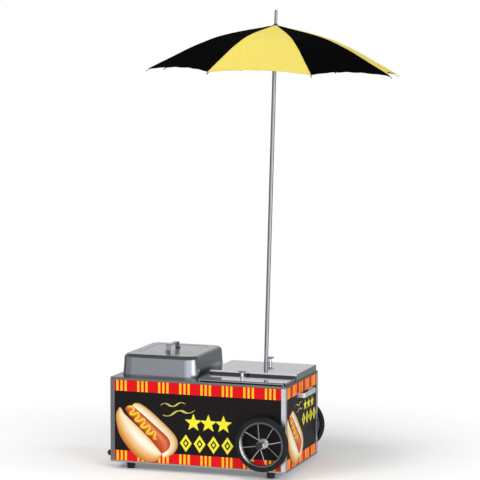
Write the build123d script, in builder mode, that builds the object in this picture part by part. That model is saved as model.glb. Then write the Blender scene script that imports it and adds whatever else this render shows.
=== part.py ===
from build123d import *
import os
from math import cos, hypot, radians, sin

# Countertop hot dog steamer built as a small vending cart, with wire wheels and an umbrella.
# Millimetres. +Z is up, +X runs to the right along the front, -Y is the front.
# The origin is the centre of the underside of the base pan.
#
# Each piece has a function of its own that returns the solid. The calls are at the end.

os.makedirs("parts", exist_ok=True)

# ---------------------------------------------------------------------------
# Driving dimensions
# ---------------------------------------------------------------------------

# cabinet
LENGTH, DEPTH, HEIGHT = 775.0, 452.0, 361.0
SHEET = 1.2                            # thickness of panels, pans and lids
FRAME = 1.5                            # thickness of posts, base pan and deck
POST = 19.0                            # leg of the corner angle
BASE_RIM = 6.0                         # upturned rim of the base pan
LIP = 10.0                             # turned down edge of the deck
PANEL_X = LENGTH / 2 - FRAME           # outer face of the end panels
PANEL_Y = DEPTH / 2 - FRAME            # outer face of the front and back panels
BACK_INNER_Y = PANEL_Y - SHEET         # inner face of the back panel
PANEL_TOP = HEIGHT - FRAME
PANEL_H = PANEL_TOP - FRAME
PANEL_MID_Z = (FRAME + PANEL_TOP) / 2
PANEL_L = LENGTH - 2 * FRAME - 2 * SHEET

# screws
SCREW_R, SCREW_L, SOCKET_SCREW_L = 2.0, 14.0, 9.0
SCREW_HOLE_R = SCREW_R + 0.05
HEAD_R, HEAD_H, HEAD_DRAFT = 4.0, 2.6, 12
CROSS_L, CROSS_W, CROSS_DEEP = 4.6, 0.9, 1.2    # cross recess in the head
BACK_SCREWS = [(x, z) for x in (-378.0, 378.0) for z in (60.0, 180.0, 300.0)]

# feet
FOOT_X, FOOT_Y = 311.0, 184.0
FOOT_H, FOOT_R = 31.0, 19.0
FOOT_SPOTS = [(x, y) for x in (-FOOT_X, FOOT_X) for y in (-FOOT_Y, FOOT_Y)]
FOOT_SEAT = -10.0                      # where the head of the foot's screw seats

# end handles
HANDLE_Y0, HANDLE_Y1, HANDLE_Z = -51.5, 99.5, 298.0    # legs and height
HANDLE_OUT, HANDLE_H, HANDLE_LEG, HANDLE_BAR = 32.0, 20.0, 9.0, 5.0

# steam well
WELL_X, WELL_Y = -195.0, 20.0
WELL_L, WELL_D, WELL_R = 312.0, 360.0, 30.0    # opening in the deck
TANK_L, TANK_D, TANK_R = WELL_L - 2, WELL_D - 2, WELL_R - 1
TANK_H, TANK_BEND = 200.0, 10
TANK_BOTTOM = HEIGHT - TANK_H
PAN_L, PAN_D, PAN_R = TANK_L - 5, TANK_D - 5, TANK_R - 2
PAN_H, PAN_BEND = 99.0, 8
PAN_BOTTOM = HEIGHT + SHEET - PAN_H

# dome over the well
DOME_L, DOME_D, DOME_R = 344.0, 388.0, 54.0
DOME_H, DOME_ROUND, DOME_DRAFT = 88.0, 19.0, 4.3
DOME_Z = HEIGHT + 2 * SHEET            # it stands on the two pan flanges
RECESS_L, RECESS_D, RECESS_R, RECESS = 234.0, 274.0, 25.0, 0.7   # pressed into the top
RECESS_Z = DOME_Z + DOME_H - RECESS    # the dome handle stands here
DOME_HANDLE_L, DOME_HANDLE_W, DOME_HANDLE_H, STRAP = 142.0, 19.0, 30.0, 3.0
DOME_HANDLE_Y = WELL_Y - 9.0
STUD_YS = [DOME_HANDLE_Y + side * (DOME_HANDLE_L / 2 - 8) for side in (-1, 1)]
STUD_R = 2.5
STUD_HOLE_R = STUD_R + 0.05            # also clears the studs of the lid knobs

# drain
DRAIN_Y, DRAIN_Z = -176.0, 26.0        # axis of the valve
SPOUT_X = -360.0
PIPE_X, PIPE_Y, PIPE_R = -300.0, -130.0, 6     # where the pipe meets the tank
VALVE_X0 = -384.6                      # outer end of the valve
DRAIN_STEM_R = 3.0

# bun compartment
BUN_X0, BUN_X1 = 12.5, 368.5
BUN_Y0, BUN_Y1 = -204.0, 204.0
BAR_Y0, BAR_Y1 = -81.0, -61.0          # bar of deck left between the two openings
BUN_FLOOR = 211.0
CURB = 6.0                             # height of the edges turned up around the openings
CURB_R = 12
BUN_MID_X, BUN_L, BUN_D = (BUN_X0 + BUN_X1) / 2, BUN_X1 - BUN_X0, BUN_Y1 - BUN_Y0

# flat lids
FRONT_LID_X0, FRONT_LID_X1, FRONT_LID_Y1 = 0.5, 380.5, -72.0
FRONT_LID_TOP = HEIGHT + 11.0
HINGE_Y, HINGE_Z, HINGE_R = -211.0, HEIGHT + 6.0, 5.0
HINGE_PIN_R = 3.0
BARREL_X0, BARREL_X1 = 12.0, 369.0
REAR_LID_X0, REAR_LID_X1, REAR_LID_Y0, REAR_LID_Y1 = 1.5, 384.5, -70.0, 214.0
REAR_LID_TOP = HEIGHT + 26.0
FRONT_KNOB = (160.5, -113.5)
REAR_KNOB = (184.5, 187.5)

# controls and cord, in the back panel
CONTROL_Z = 112.0
DIAL_X, SWITCH_X, LAMP_X = -250.0, -172.0, -206.0
DIAL_BUSH_R, DIAL_STEM_R = 5, 3
SWITCH_W, SWITCH_H = 22, 28
LAMP_R = 5.5
CORD_X, CORD_Z, CORD_R = -330.0, 38.0, 3.5
GLAND_R = 6

# wheels
WHEEL_X, WHEEL_Z = 294.5, 120.0
WHEEL_Y = 255.0                        # centre plane of the tyre, from the middle
AXLE_END_R = 4.0                       # threaded ends of the axle
AXLE_R = 6.0

# umbrella, measured along its own axis from the top of the rear lid
UMBRELLA_BASE = (205.1, 66.6, REAR_LID_TOP)
TILT_X, TILT_Y = 1.21, 1.07            # degrees
POLE_R, POLE_WALL = 8.5, 1.2
FIT = 0.08                             # running clearance, radial
POLE_FOOT = -160.0
POLE_SPLIT = 770.0
SPIGOT = 70.0                          # upper pole inside the lower one
SOCKET_TOP, SOCKET_R = -4.0, 11.0
CROWN_S = 1445.0                       # top of the canopy
CROWN_LOW, CROWN_HIGH, CROWN_R = CROWN_S - 13.0, CROWN_S - 4.6, 23.0
TIP_R = 5.0                            # top of the upper pole
HINGE_S = CROWN_S - 7.0                # height of the rib hinges
HINGE_WIRE_R, EYE_R, SLOT = 0.8, 1.0, 3.4
RIB_HINGE_R = 15.0
RIB_JOINT_R = 290.0
RIB_HALF, RIB_W = 2.0, 3.0             # half height and width
RIM_RADIUS, RIM_DROP = 541.0, 192.0
RIB_PHASE = -101.4                     # direction of the first rib, degrees
CANOPY_T = 1.5
# radius and drop of the canopy along a rib
CANOPY = [(12, 0), (60, 9.5), (115, 20), (175, 32.5), (222, 44.5), (261, 56.5), (302, 73),
          (351, 94), (399, 118), (443, 141), (490, 164.7), (RIM_RADIUS, RIM_DROP)]


# ---------------------------------------------------------------------------
# Shared planes and solids
# ---------------------------------------------------------------------------
def facing_up(x, y, z):
    """Level plane with its origin at a point; local X and Y as the world's."""
    return Plane(origin=(x, y, z), x_dir=(1, 0, 0), z_dir=(0, 0, 1))


def facing_front(x, y, z):
    """Upright plane facing -Y: local X is X, local Y is Z. Negative extrusions go back."""
    return Plane(origin=(x, y, z), x_dir=(1, 0, 0), z_dir=(0, -1, 0))


def facing_right(x, y, z):
    """Upright plane facing +X: local X is Y, local Y is Z."""
    return Plane(origin=(x, y, z), x_dir=(0, 1, 0), z_dir=(1, 0, 0))


def well_plane(z):
    """Level plane at height z, centred on the well."""
    return facing_up(WELL_X, WELL_Y, z)


def formed_block(base, length, depth, radius, height, bend, taper=0, end=0):
    """Round cornered block with one end's edges filleted: end 0 the bottom, -1 the top."""
    with BuildPart() as body:
        with BuildSketch(base):
            RectangleRounded(length, depth, radius)
        extrude(amount=height, taper=taper)
        fillet(body.faces().sort_by(Axis.Z)[end].edges(), bend)
    return body.part


def turned(half_section, profile, spin):
    """Solid turned from a closed profile."""
    with BuildPart() as body:
        with BuildSketch(half_section):
            with BuildLine():
                Polyline(*profile, close=True)
            make_face()
        revolve(axis=spin)
    return body.part


def save(part, name):
    part.label = name
    export_step(part, f"parts/{name}.step")


# ---------------------------------------------------------------------------
# Umbrella frame of reference
# ---------------------------------------------------------------------------
POLE_DIR = Vector(sin(radians(TILT_X)), sin(radians(TILT_Y)), 1.0).normalized()
UMBRELLA_X = Vector(0, 1, 0).cross(POLE_DIR).normalized()
UMBRELLA = Plane(origin=UMBRELLA_BASE, x_dir=UMBRELLA_X, z_dir=POLE_DIR)


def along(height):
    """Point on the umbrella's axis, at a height above the rear lid."""
    return UMBRELLA.origin + POLE_DIR * height


POLE_AXIS = Axis(along(0), POLE_DIR)


def rib_dir(n):
    """Outward direction of rib n."""
    angle = radians(RIB_PHASE + 45.0 * n)
    return UMBRELLA_X * cos(angle) + POLE_DIR.cross(UMBRELLA_X) * sin(angle)


def rib_plane(n):
    """Plane of rib n: local X runs outward and local Y runs up the pole."""
    out = rib_dir(n)
    return Plane(origin=along(0), x_dir=out, z_dir=out.cross(POLE_DIR))


def canopy_drop(radius):
    """Drop of the canopy at a radius along a rib."""
    for (r0, drop0), (r1, drop1) in zip(CANOPY, CANOPY[1:]):
        if radius <= r1:
            return drop0 + (drop1 - drop0) * (radius - r0) / (r1 - r0)


# rib hinge to rib joint, and rib joint to runner, are the same length, so the
# runner's end of each stretcher keeps its distance from the pole
JOINT_S = CROWN_S - (canopy_drop(RIB_JOINT_R) + 6.6)
STRETCHER_RISE = HINGE_S - JOINT_S
STRETCHER_L = hypot(RIB_JOINT_R - RIB_HINGE_R, STRETCHER_RISE)
RUNNER_S = HINGE_S - 2 * STRETCHER_RISE

# the pole's axis meets the bun compartment's floor here
SOCKET_FOOT = along((BUN_FLOOR + SHEET - REAR_LID_TOP) / POLE_DIR.Z)
FLANGE_T = 3
SOCKET_SCREWS = [(SOCKET_FOOT.X + 24 * cos(radians(angle)),
                  SOCKET_FOOT.Y + 24 * sin(radians(angle))) for angle in (30, 150, 270)]


# ---------------------------------------------------------------------------
# Cabinet
# ---------------------------------------------------------------------------
def base_pan():
    """Shallow tray with slots under the well and holes for the feet and the spout."""
    with BuildPart() as body:
        with BuildSketch(Plane.XY):
            Rectangle(LENGTH, DEPTH)
        extrude(amount=BASE_RIM)
        with BuildSketch(Plane.XY.offset(FRAME)):
            Rectangle(LENGTH - 2 * FRAME, DEPTH - 2 * FRAME)
        extrude(amount=BASE_RIM, mode=Mode.SUBTRACT)
        with BuildSketch(Plane.XY):
            with Locations(*FOOT_SPOTS):
                Circle(SCREW_HOLE_R)
            with Locations((SPOUT_X, DRAIN_Y)):
                Circle(8.0)
            with Locations((WELL_X, 0)):
                with GridLocations(34, 90, 6, 2):
                    SlotOverall(70, 7, rotation=90)
        extrude(amount=FRAME, mode=Mode.SUBTRACT)
        # stiffening groove pressed around the middle of the underside
        with BuildSketch(Plane.XY):
            Circle(64)
            Circle(60, mode=Mode.SUBTRACT)
        extrude(amount=0.4, mode=Mode.SUBTRACT)
    return body.part


def corner_posts():
    """Four angles between the rim of the base pan and the lip of the deck."""
    with BuildPart() as body:
        for side_x in (-1, 1):
            for side_y in (-1, 1):
                with BuildSketch(Plane.XY.offset(BASE_RIM)):
                    with Locations((side_x * (LENGTH - POST) / 2, side_y * (DEPTH - FRAME) / 2)):
                        Rectangle(POST, FRAME)
                    with Locations((side_x * (LENGTH - FRAME) / 2, side_y * (DEPTH - POST) / 2)):
                        Rectangle(FRAME, POST)
                extrude(amount=HEIGHT - LIP - BASE_RIM)
        with BuildSketch(Plane.XZ.offset(-DEPTH / 2)):
            with Locations(*BACK_SCREWS):
                Circle(SCREW_HOLE_R)
        extrude(amount=FRAME, mode=Mode.SUBTRACT)
    return body.part


def front_panel():
    with BuildPart() as body:
        with BuildSketch(Plane.XZ.offset(PANEL_Y - SHEET)):
            with Locations((0, PANEL_MID_Z)):
                Rectangle(PANEL_L, PANEL_H)
            with Locations((WHEEL_X, WHEEL_Z)):
                Circle(AXLE_END_R + 0.1, mode=Mode.SUBTRACT)
        extrude(amount=SHEET)
    return body.part


def back_panel():
    """Panel that carries the controls, the cord and two rows of cooling slots."""
    with BuildPart() as body:
        with BuildSketch(Plane.XZ.offset(-PANEL_Y)):
            with Locations((0, PANEL_MID_Z)):
                Rectangle(PANEL_L, PANEL_H)
            with Locations((WHEEL_X, WHEEL_Z)):
                Circle(AXLE_END_R + 0.1, mode=Mode.SUBTRACT)
            with Locations(*BACK_SCREWS):
                Circle(SCREW_HOLE_R, mode=Mode.SUBTRACT)
            with Locations((DIAL_X, CONTROL_Z)):
                Circle(DIAL_BUSH_R + 0.1, mode=Mode.SUBTRACT)
            with Locations((SWITCH_X, CONTROL_Z)):
                Rectangle(SWITCH_W + 0.2, SWITCH_H + 0.2, mode=Mode.SUBTRACT)
            with Locations((LAMP_X, CONTROL_Z)):
                Circle(LAMP_R + 0.1, mode=Mode.SUBTRACT)
            with Locations((CORD_X, CORD_Z)):
                Circle(GLAND_R + 0.1, mode=Mode.SUBTRACT)
            for row_z in (60, 300):
                with Locations((0, row_z)):
                    with GridLocations(16, 1, 12, 1):
                        SlotOverall(48, 5, rotation=90, mode=Mode.SUBTRACT)
        extrude(amount=SHEET)
    return body.part


def end_panel(x0):
    """End panel whose left face is at x0, with the two holes for its handle."""
    with BuildPart() as body:
        with BuildSketch(Plane.YZ.offset(x0)):
            with Locations((0, PANEL_MID_Z)):
                Rectangle(DEPTH - 2 * FRAME, PANEL_H)
            with Locations((HANDLE_Y0, HANDLE_Z), (HANDLE_Y1, HANDLE_Z)):
                Circle(SCREW_HOLE_R, mode=Mode.SUBTRACT)
            if x0 < 0:
                # the drain knob's stem passes through the left panel
                with Locations((DRAIN_Y, DRAIN_Z)):
                    Circle(4.5, mode=Mode.SUBTRACT)
        extrude(amount=SHEET)
    return body.part


def deck():
    """Stainless deck: turned down edge, a well opening and two curbed bun openings."""
    with BuildPart() as body:
        with BuildSketch(Plane.XY.offset(HEIGHT - LIP)):
            Rectangle(LENGTH, DEPTH)
        extrude(amount=LIP)
        fillet(body.edges().filter_by(Axis.Z), 3)
        fillet(body.faces().sort_by(Axis.Z)[-1].edges(), 1.2)
        with BuildSketch(Plane.XY.offset(HEIGHT - LIP)):
            Rectangle(LENGTH - 2 * FRAME, DEPTH - 2 * FRAME)
        extrude(amount=LIP - FRAME, mode=Mode.SUBTRACT)
        for y0, y1 in ((BUN_Y0, BAR_Y0), (BAR_Y1, BUN_Y1)):
            opening = facing_up(BUN_MID_X, (y0 + y1) / 2, HEIGHT - FRAME)
            with BuildSketch(opening):
                RectangleRounded(BUN_L + 2 * SHEET, y1 - y0 + 2 * SHEET, CURB_R + SHEET)
            extrude(amount=FRAME + CURB)
            with BuildSketch(opening):
                RectangleRounded(BUN_L, y1 - y0, CURB_R)
            extrude(amount=FRAME + CURB, mode=Mode.SUBTRACT)
        with BuildSketch(well_plane(HEIGHT - FRAME)):
            RectangleRounded(WELL_L, WELL_D, WELL_R)
        extrude(amount=FRAME, mode=Mode.SUBTRACT)
    return body.part


# ---------------------------------------------------------------------------
# Steam well: water tank, perforated pan, heater, drain
# ---------------------------------------------------------------------------
def water_pan():
    """Tank hung in the well opening by its flange, with a hole for the drain pipe."""
    outside = formed_block(well_plane(TANK_BOTTOM), TANK_L, TANK_D, TANK_R,
                           height=TANK_H, bend=TANK_BEND)
    hollow = formed_block(well_plane(TANK_BOTTOM + SHEET),
                          TANK_L - 2 * SHEET, TANK_D - 2 * SHEET, TANK_R - SHEET,
                          height=TANK_H, bend=TANK_BEND - SHEET)
    with BuildPart() as body:
        add(outside)
        with BuildSketch(well_plane(HEIGHT)):
            RectangleRounded(DOME_L + 4, DOME_D + 4, DOME_R + 2)
        extrude(amount=SHEET)
        add(hollow, mode=Mode.SUBTRACT)
        with BuildSketch(facing_up(PIPE_X, PIPE_Y, TANK_BOTTOM)):
            Circle(PIPE_R)
        extrude(amount=SHEET, mode=Mode.SUBTRACT)
    return body.part


def hot_dog_pan():
    """Perforated pan whose flange lies on the tank's."""
    outside = formed_block(well_plane(PAN_BOTTOM), PAN_L, PAN_D, PAN_R,
                           height=PAN_H, bend=PAN_BEND)
    hollow = formed_block(well_plane(PAN_BOTTOM + SHEET),
                          PAN_L - 2 * SHEET, PAN_D - 2 * SHEET, PAN_R - SHEET,
                          height=PAN_H + SHEET, bend=PAN_BEND - SHEET)
    with BuildPart() as body:
        add(outside)
        with BuildSketch(well_plane(HEIGHT + SHEET)):
            RectangleRounded(DOME_L - 1, DOME_D - 1, DOME_R - 0.5)
        extrude(amount=SHEET)
        add(hollow, mode=Mode.SUBTRACT)
        with BuildSketch(well_plane(PAN_BOTTOM)):
            with GridLocations(32, 32, 8, 9):
                Circle(4)
        extrude(amount=SHEET, mode=Mode.SUBTRACT)
    return body.part


def heating_element():
    """Sheathed heater, bent into an open loop under the tank."""
    heater_z = TANK_BOTTOM - 4.3
    left, right = WELL_X - 95, WELL_X + 95
    tail_left, tail_right = WELL_X - 20, WELL_X + 20
    front_y, back_y, tail_y = -105, 95, 150
    with BuildPart() as body:
        with BuildLine(Plane.XY.offset(heater_z)) as loop:
            FilletPolyline((tail_left, tail_y), (tail_left, back_y), (left, back_y),
                           (left, front_y), (right, front_y), (right, back_y),
                           (tail_right, back_y), (tail_right, tail_y), radius=18)
        with BuildSketch(Plane(origin=(tail_left, tail_y, heater_z), z_dir=(0, -1, 0))):
            Circle(4)
        sweep(path=loop.wires()[0])
        # sleeve and terminal on each tail
        for x in (tail_left, tail_right):
            for start_y, radius, length in ((149, 4.2, 18), (167, 2, 12)):
                with BuildSketch(Plane(origin=(x, start_y, heater_z), z_dir=(0, 1, 0))):
                    Circle(radius)
                extrude(amount=length)
    return body.part


def drain_valve():
    """Pipe from the tank to a quarter turn valve behind the left end panel."""
    run_x, run_y = PIPE_X - SPOUT_X, PIPE_Y - DRAIN_Y
    run = hypot(run_x, run_y)
    # upright plane through the pipe: local X along the run, local Y up
    pipe_plane = Plane(origin=(SPOUT_X, DRAIN_Y, 0), x_dir=(run_x / run, run_y / run, 0),
                       z_dir=(run_y / run, -run_x / run, 0))
    spout_drop = 8
    with BuildPart() as body:
        with BuildLine(pipe_plane) as pipe_path:
            FilletPolyline((0, DRAIN_Z), (run, DRAIN_Z), (run, TANK_BOTTOM - 0.1), radius=16)
        with BuildSketch(Plane(origin=(SPOUT_X, DRAIN_Y, DRAIN_Z), z_dir=pipe_plane.x_dir)):
            Circle(PIPE_R)
        sweep(path=pipe_path.wires()[0])
        # round collar and hexagonal body of the valve
        with BuildSketch(facing_right(VALVE_X0, DRAIN_Y, DRAIN_Z)):
            Circle(13)
        extrude(amount=10)
        with BuildSketch(facing_right(-375, DRAIN_Y, DRAIN_Z)):
            RegularPolygon(13, 6)
        extrude(amount=27)
        # spout, down through the base pan
        with BuildSketch(facing_up(SPOUT_X, DRAIN_Y, -spout_drop)):
            Circle(7)
        extrude(amount=spout_drop + DRAIN_Z)
        with BuildSketch(facing_up(SPOUT_X, DRAIN_Y, -spout_drop)):
            Circle(4.5)
        extrude(amount=30, mode=Mode.SUBTRACT)
        # bore for the stem of the knob
        with BuildSketch(facing_right(VALVE_X0, DRAIN_Y, DRAIN_Z)):
            Circle(DRAIN_STEM_R + 0.05)
        extrude(amount=14, mode=Mode.SUBTRACT)
    return body.part


def drain_knob():
    """Ball shaped grip on a plain stem, turned about the axis of the valve."""
    stem_end, ball_end = -35.5, 12.4
    # distance outward from the middle of the ball, and radius
    neck = [(stem_end, 0), (stem_end, DRAIN_STEM_R), (-20.5, DRAIN_STEM_R), (-20.5, 7.0),
            (-12.0, 7.0), (-10.4, 8.6)]
    ball = [neck[-1], (-6.5, 11.4), (0, 12.3), (7.5, 10.6), (11.2, 6.2), (ball_end, 0)]
    with BuildPart() as body:
        with BuildSketch(Plane(origin=(-408.5, DRAIN_Y, DRAIN_Z),
                               x_dir=(-1, 0, 0), z_dir=(0, 1, 0))):
            with BuildLine():
                Polyline(*neck)
                Spline(*ball)
                Line((ball_end, 0), (stem_end, 0))
            make_face()
        revolve(axis=Axis((0, DRAIN_Y, DRAIN_Z), (1, 0, 0)))
        # upright slot in the end that shows which way the valve is turned
        with BuildSketch(facing_right(-422, DRAIN_Y, DRAIN_Z)):
            SlotOverall(15, 3, rotation=90)
        extrude(amount=3.2, mode=Mode.SUBTRACT)
    return body.part


# ---------------------------------------------------------------------------
# Bun compartment, with the umbrella socket standing on its floor
# ---------------------------------------------------------------------------
def bun_pan():
    length, depth, radius, bend = BUN_L + 10, BUN_D + 8, 16, 8
    outside = formed_block(facing_up(BUN_MID_X, 0, BUN_FLOOR), length, depth, radius,
                           height=PANEL_TOP - BUN_FLOOR, bend=bend)
    hollow = formed_block(facing_up(BUN_MID_X, 0, BUN_FLOOR + SHEET),
                          length - 2 * SHEET, depth - 2 * SHEET, radius - SHEET,
                          height=PANEL_TOP, bend=bend - SHEET)
    with BuildPart() as body:
        add(outside)
        with BuildSketch(facing_up(BUN_MID_X, 0, PANEL_TOP - SHEET)):
            Rectangle(BUN_L + 26, BUN_D + 24)
        extrude(amount=SHEET)
        add(hollow, mode=Mode.SUBTRACT)
        with BuildSketch(Plane.XY.offset(BUN_FLOOR)):
            with Locations(*SOCKET_SCREWS):
                Circle(SCREW_HOLE_R)
        extrude(amount=SHEET, mode=Mode.SUBTRACT)
    return body.part


def umbrella_socket():
    """Tilted tube on a level flange that is screwed to the floor."""
    with BuildPart() as body:
        with BuildSketch(UMBRELLA.offset(POLE_FOOT - 22)):
            Circle(SOCKET_R)
        extrude(amount=SOCKET_TOP - POLE_FOOT + 22)
        with BuildSketch(Plane.XY.offset(BUN_FLOOR + SHEET)):
            with Locations((SOCKET_FOOT.X, SOCKET_FOOT.Y)):
                Circle(32)
            with Locations(*SOCKET_SCREWS):
                Circle(SCREW_HOLE_R, mode=Mode.SUBTRACT)
        extrude(amount=FLANGE_T)
        with BuildSketch(UMBRELLA.offset(POLE_FOOT - 1)):
            Circle(POLE_R + FIT)
        extrude(amount=SOCKET_TOP - POLE_FOOT + 1, mode=Mode.SUBTRACT)
        # square cut so that nothing of the tilted tube stands below the flange
        with BuildSketch(Plane.XY.offset(BUN_FLOOR - 20)):
            with Locations((SOCKET_FOOT.X, SOCKET_FOOT.Y)):
                Circle(40)
        extrude(amount=20 + SHEET, mode=Mode.SUBTRACT)
        chamfer(body.edges().filter_by(GeomType.CIRCLE).sort_by(Axis.Z)[-1], 0.6)
    return body.part


# ---------------------------------------------------------------------------
# Controls in the back panel
# ---------------------------------------------------------------------------
TAB_W, TAB_T = 6.3, 0.8                # flat terminals
DIAL_Y = BACK_INNER_Y + 5.0            # inner face of the dial's knob
ROCKER_Y = BACK_INNER_Y + 2.0          # pivot of the rocker
PIVOT_R = 1.2
# section of the rocker: distance back from the pivot, and height above it
ROCKER = [(6.2, 10.4), (3.2, 0.6), (3.2, -10.9), (-0.5, -10.6), (-3.5, -3.5), (-3.5, 3.5),
          (1.5, 10.8)]


def thermostat():
    case_depth = 28
    with BuildPart() as body:
        with BuildSketch(facing_front(DIAL_X, BACK_INNER_Y - case_depth, CONTROL_Z)):
            RectangleRounded(44, 36, 3)
        extrude(amount=-case_depth)
        # bush through the panel, and the stem
        for radius, length in ((DIAL_BUSH_R, 4.2), (DIAL_STEM_R, 17)):
            with BuildSketch(facing_front(DIAL_X, BACK_INNER_Y, CONTROL_Z)):
                Circle(radius)
            extrude(amount=-length)
        # terminals
        with BuildSketch(facing_front(DIAL_X, BACK_INNER_Y - 38, CONTROL_Z)):
            with Locations((-10, 0), (10, 0)):
                Rectangle(TAB_W, TAB_T)
        extrude(amount=-11)
    return body.part


def thermostat_knob():
    """Skirted knob with a scalloped grip."""
    skirt_t = 3
    with BuildPart() as body:
        with BuildSketch(facing_front(DIAL_X, DIAL_Y, CONTROL_Z)):
            Circle(21)
        extrude(amount=-skirt_t)
        with BuildSketch(facing_front(DIAL_X, DIAL_Y + skirt_t, CONTROL_Z)):
            Circle(17)
            with PolarLocations(18.2, 16):
                Circle(2.2, mode=Mode.SUBTRACT)
        extrude(amount=-14, taper=3)
        fillet(body.faces().sort_by(Axis.Y)[-1].edges(), 0.8)
        # bore for the stem
        with BuildSketch(facing_front(DIAL_X, DIAL_Y, CONTROL_Z)):
            Circle(DIAL_STEM_R + 0.05)
        extrude(amount=-12.2, mode=Mode.SUBTRACT)
        # pointer line
        with BuildSketch(facing_front(DIAL_X, DIAL_Y + 16, CONTROL_Z + 9)):
            Rectangle(1.6, 12)
        extrude(amount=-3, mode=Mode.SUBTRACT)
    return body.part


def power_switch():
    """Housing, bezel, pivot pins and terminals of the switch."""
    housing_depth = 22
    with BuildPart() as body:
        with BuildSketch(facing_front(SWITCH_X, BACK_INNER_Y - housing_depth, CONTROL_Z)):
            Rectangle(SWITCH_W, SWITCH_H)
        extrude(amount=-(housing_depth + SHEET))
        with BuildSketch(facing_front(SWITCH_X, PANEL_Y, CONTROL_Z)):
            RectangleRounded(SWITCH_W + 4, SWITCH_H + 4, 2)
        extrude(amount=-2)
        with BuildSketch(facing_front(SWITCH_X, BACK_INNER_Y - 12, CONTROL_Z)):
            Rectangle(16, 23)
        extrude(amount=-20, mode=Mode.SUBTRACT)
        # pivot pins for the rocker
        for side in (-1, 1):
            pin_root = (SWITCH_X + side * 8, ROCKER_Y, CONTROL_Z)
            with BuildSketch(Plane(origin=pin_root, z_dir=(-side, 0, 0))):
                Circle(PIVOT_R)
            extrude(amount=2)
        with BuildSketch(facing_front(SWITCH_X, BACK_INNER_Y - 31, CONTROL_Z)):
            with Locations((0, -7), (0, 7)):
                Rectangle(TAB_W, TAB_T)
        extrude(amount=-10)
    return body.part


def power_rocker():
    """Shallow vee: its top half stands proud in the off position."""
    width = 15
    with BuildPart() as body:
        with BuildSketch(facing_right(SWITCH_X - width / 2, ROCKER_Y, CONTROL_Z)):
            with BuildLine():
                Polyline(*ROCKER, close=True)
            make_face()
        extrude(amount=width)
        with BuildSketch(facing_right(SWITCH_X - 8, ROCKER_Y, CONTROL_Z)):
            Circle(PIVOT_R + 0.05)
        extrude(amount=16, mode=Mode.SUBTRACT)
    return body.part


def pilot_lamp():
    inside, bezel_t = 20, 2
    with BuildPart() as body:
        with BuildSketch(facing_front(LAMP_X, BACK_INNER_Y - inside, CONTROL_Z)):
            Circle(LAMP_R)
        extrude(amount=-(inside + SHEET))
        with BuildSketch(facing_front(LAMP_X, PANEL_Y, CONTROL_Z)):
            Circle(8)
        extrude(amount=-bezel_t)
        with BuildSketch(facing_front(LAMP_X, PANEL_Y + bezel_t, CONTROL_Z)):
            Circle(LAMP_R)
        extrude(amount=-4)
        fillet(body.faces().sort_by(Axis.Y)[-1].edges(), 2.5)
    return body.part


def power_cord():
    """Mains cord with its gland and plug, lying on the floor behind the cabinet."""
    floor = -FOOT_H
    start = (CORD_X, PANEL_Y + 11, CORD_Z)
    plug_x, plug_y, plug_z = CORD_X + 290, PANEL_Y + 56, floor + 10.0
    grip_x, grip_l = plug_x + 16, 18
    with BuildPart() as body:
        with BuildLine() as cord_path:
            Spline(start,
                   (CORD_X + 6, PANEL_Y + 34, CORD_Z - 12),
                   (CORD_X + 22, PANEL_Y + 44, floor + 16),
                   (CORD_X + 50, PANEL_Y + 50, floor + 4.2),
                   (CORD_X + 110, PANEL_Y + 40, floor + 4.0),
                   (CORD_X + 170, PANEL_Y + 62, floor + 4.0),
                   (CORD_X + 235, PANEL_Y + 42, floor + 4.0),
                   (plug_x, plug_y, plug_z),
                   tangents=((0, 1, 0), (1, 0, 0)))
        with BuildSketch(Plane(origin=start, z_dir=(0, 1, 0))):
            Circle(CORD_R)
        sweep(path=cord_path.wires()[0])
        # gland: barrel through the panel, collar, tapered sleeve
        with BuildSketch(facing_front(CORD_X, BACK_INNER_Y - 8, CORD_Z)):
            Circle(GLAND_R)
        extrude(amount=-(8 + SHEET))
        with BuildSketch(facing_front(CORD_X, PANEL_Y, CORD_Z)):
            Circle(9)
        extrude(amount=-3)
        with BuildSketch(facing_front(CORD_X, PANEL_Y + 3, CORD_Z)):
            Circle(7)
        extrude(amount=-12, taper=10)
        # moulded plug
        with BuildSketch(Plane(origin=(plug_x - 6, plug_y, plug_z), z_dir=(1, 0, 0))):
            Circle(5)
        with BuildSketch(Plane(origin=(grip_x, plug_y, plug_z), z_dir=(1, 0, 0))):
            RectangleRounded(24, 17, 5)
        loft()
        with BuildSketch(Plane(origin=(grip_x, plug_y, plug_z), z_dir=(1, 0, 0))):
            RectangleRounded(24, 17, 5)
        extrude(amount=grip_l)
        # blades
        with BuildSketch(Plane(origin=(grip_x + grip_l, plug_y, plug_z), z_dir=(1, 0, 0))):
            with Locations((-6.3, 0), (6.3, 0)):
                Rectangle(1.5, 6.3)
        extrude(amount=17)
    return body.part


# ---------------------------------------------------------------------------
# Feet, end handles and screws
# ---------------------------------------------------------------------------
def feet():
    """Four tapered feet, bored from below for their screws."""
    with BuildPart() as body:
        for x, y in FOOT_SPOTS:
            with BuildSketch(facing_up(x, y, -FOOT_H)):
                Circle(FOOT_R - 3)
            with BuildSketch(facing_up(x, y, 0)):
                Circle(FOOT_R)
            loft()
        with BuildSketch(Plane.XY.offset(-FOOT_H)):
            with Locations(*FOOT_SPOTS):
                Circle(HEAD_R + 1)
        extrude(amount=FOOT_H + FOOT_SEAT, mode=Mode.SUBTRACT)
        with BuildSketch(Plane.XY.offset(FOOT_SEAT)):
            with Locations(*FOOT_SPOTS):
                Circle(SCREW_HOLE_R)
        extrude(amount=-FOOT_SEAT, mode=Mode.SUBTRACT)
    return body.part


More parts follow.
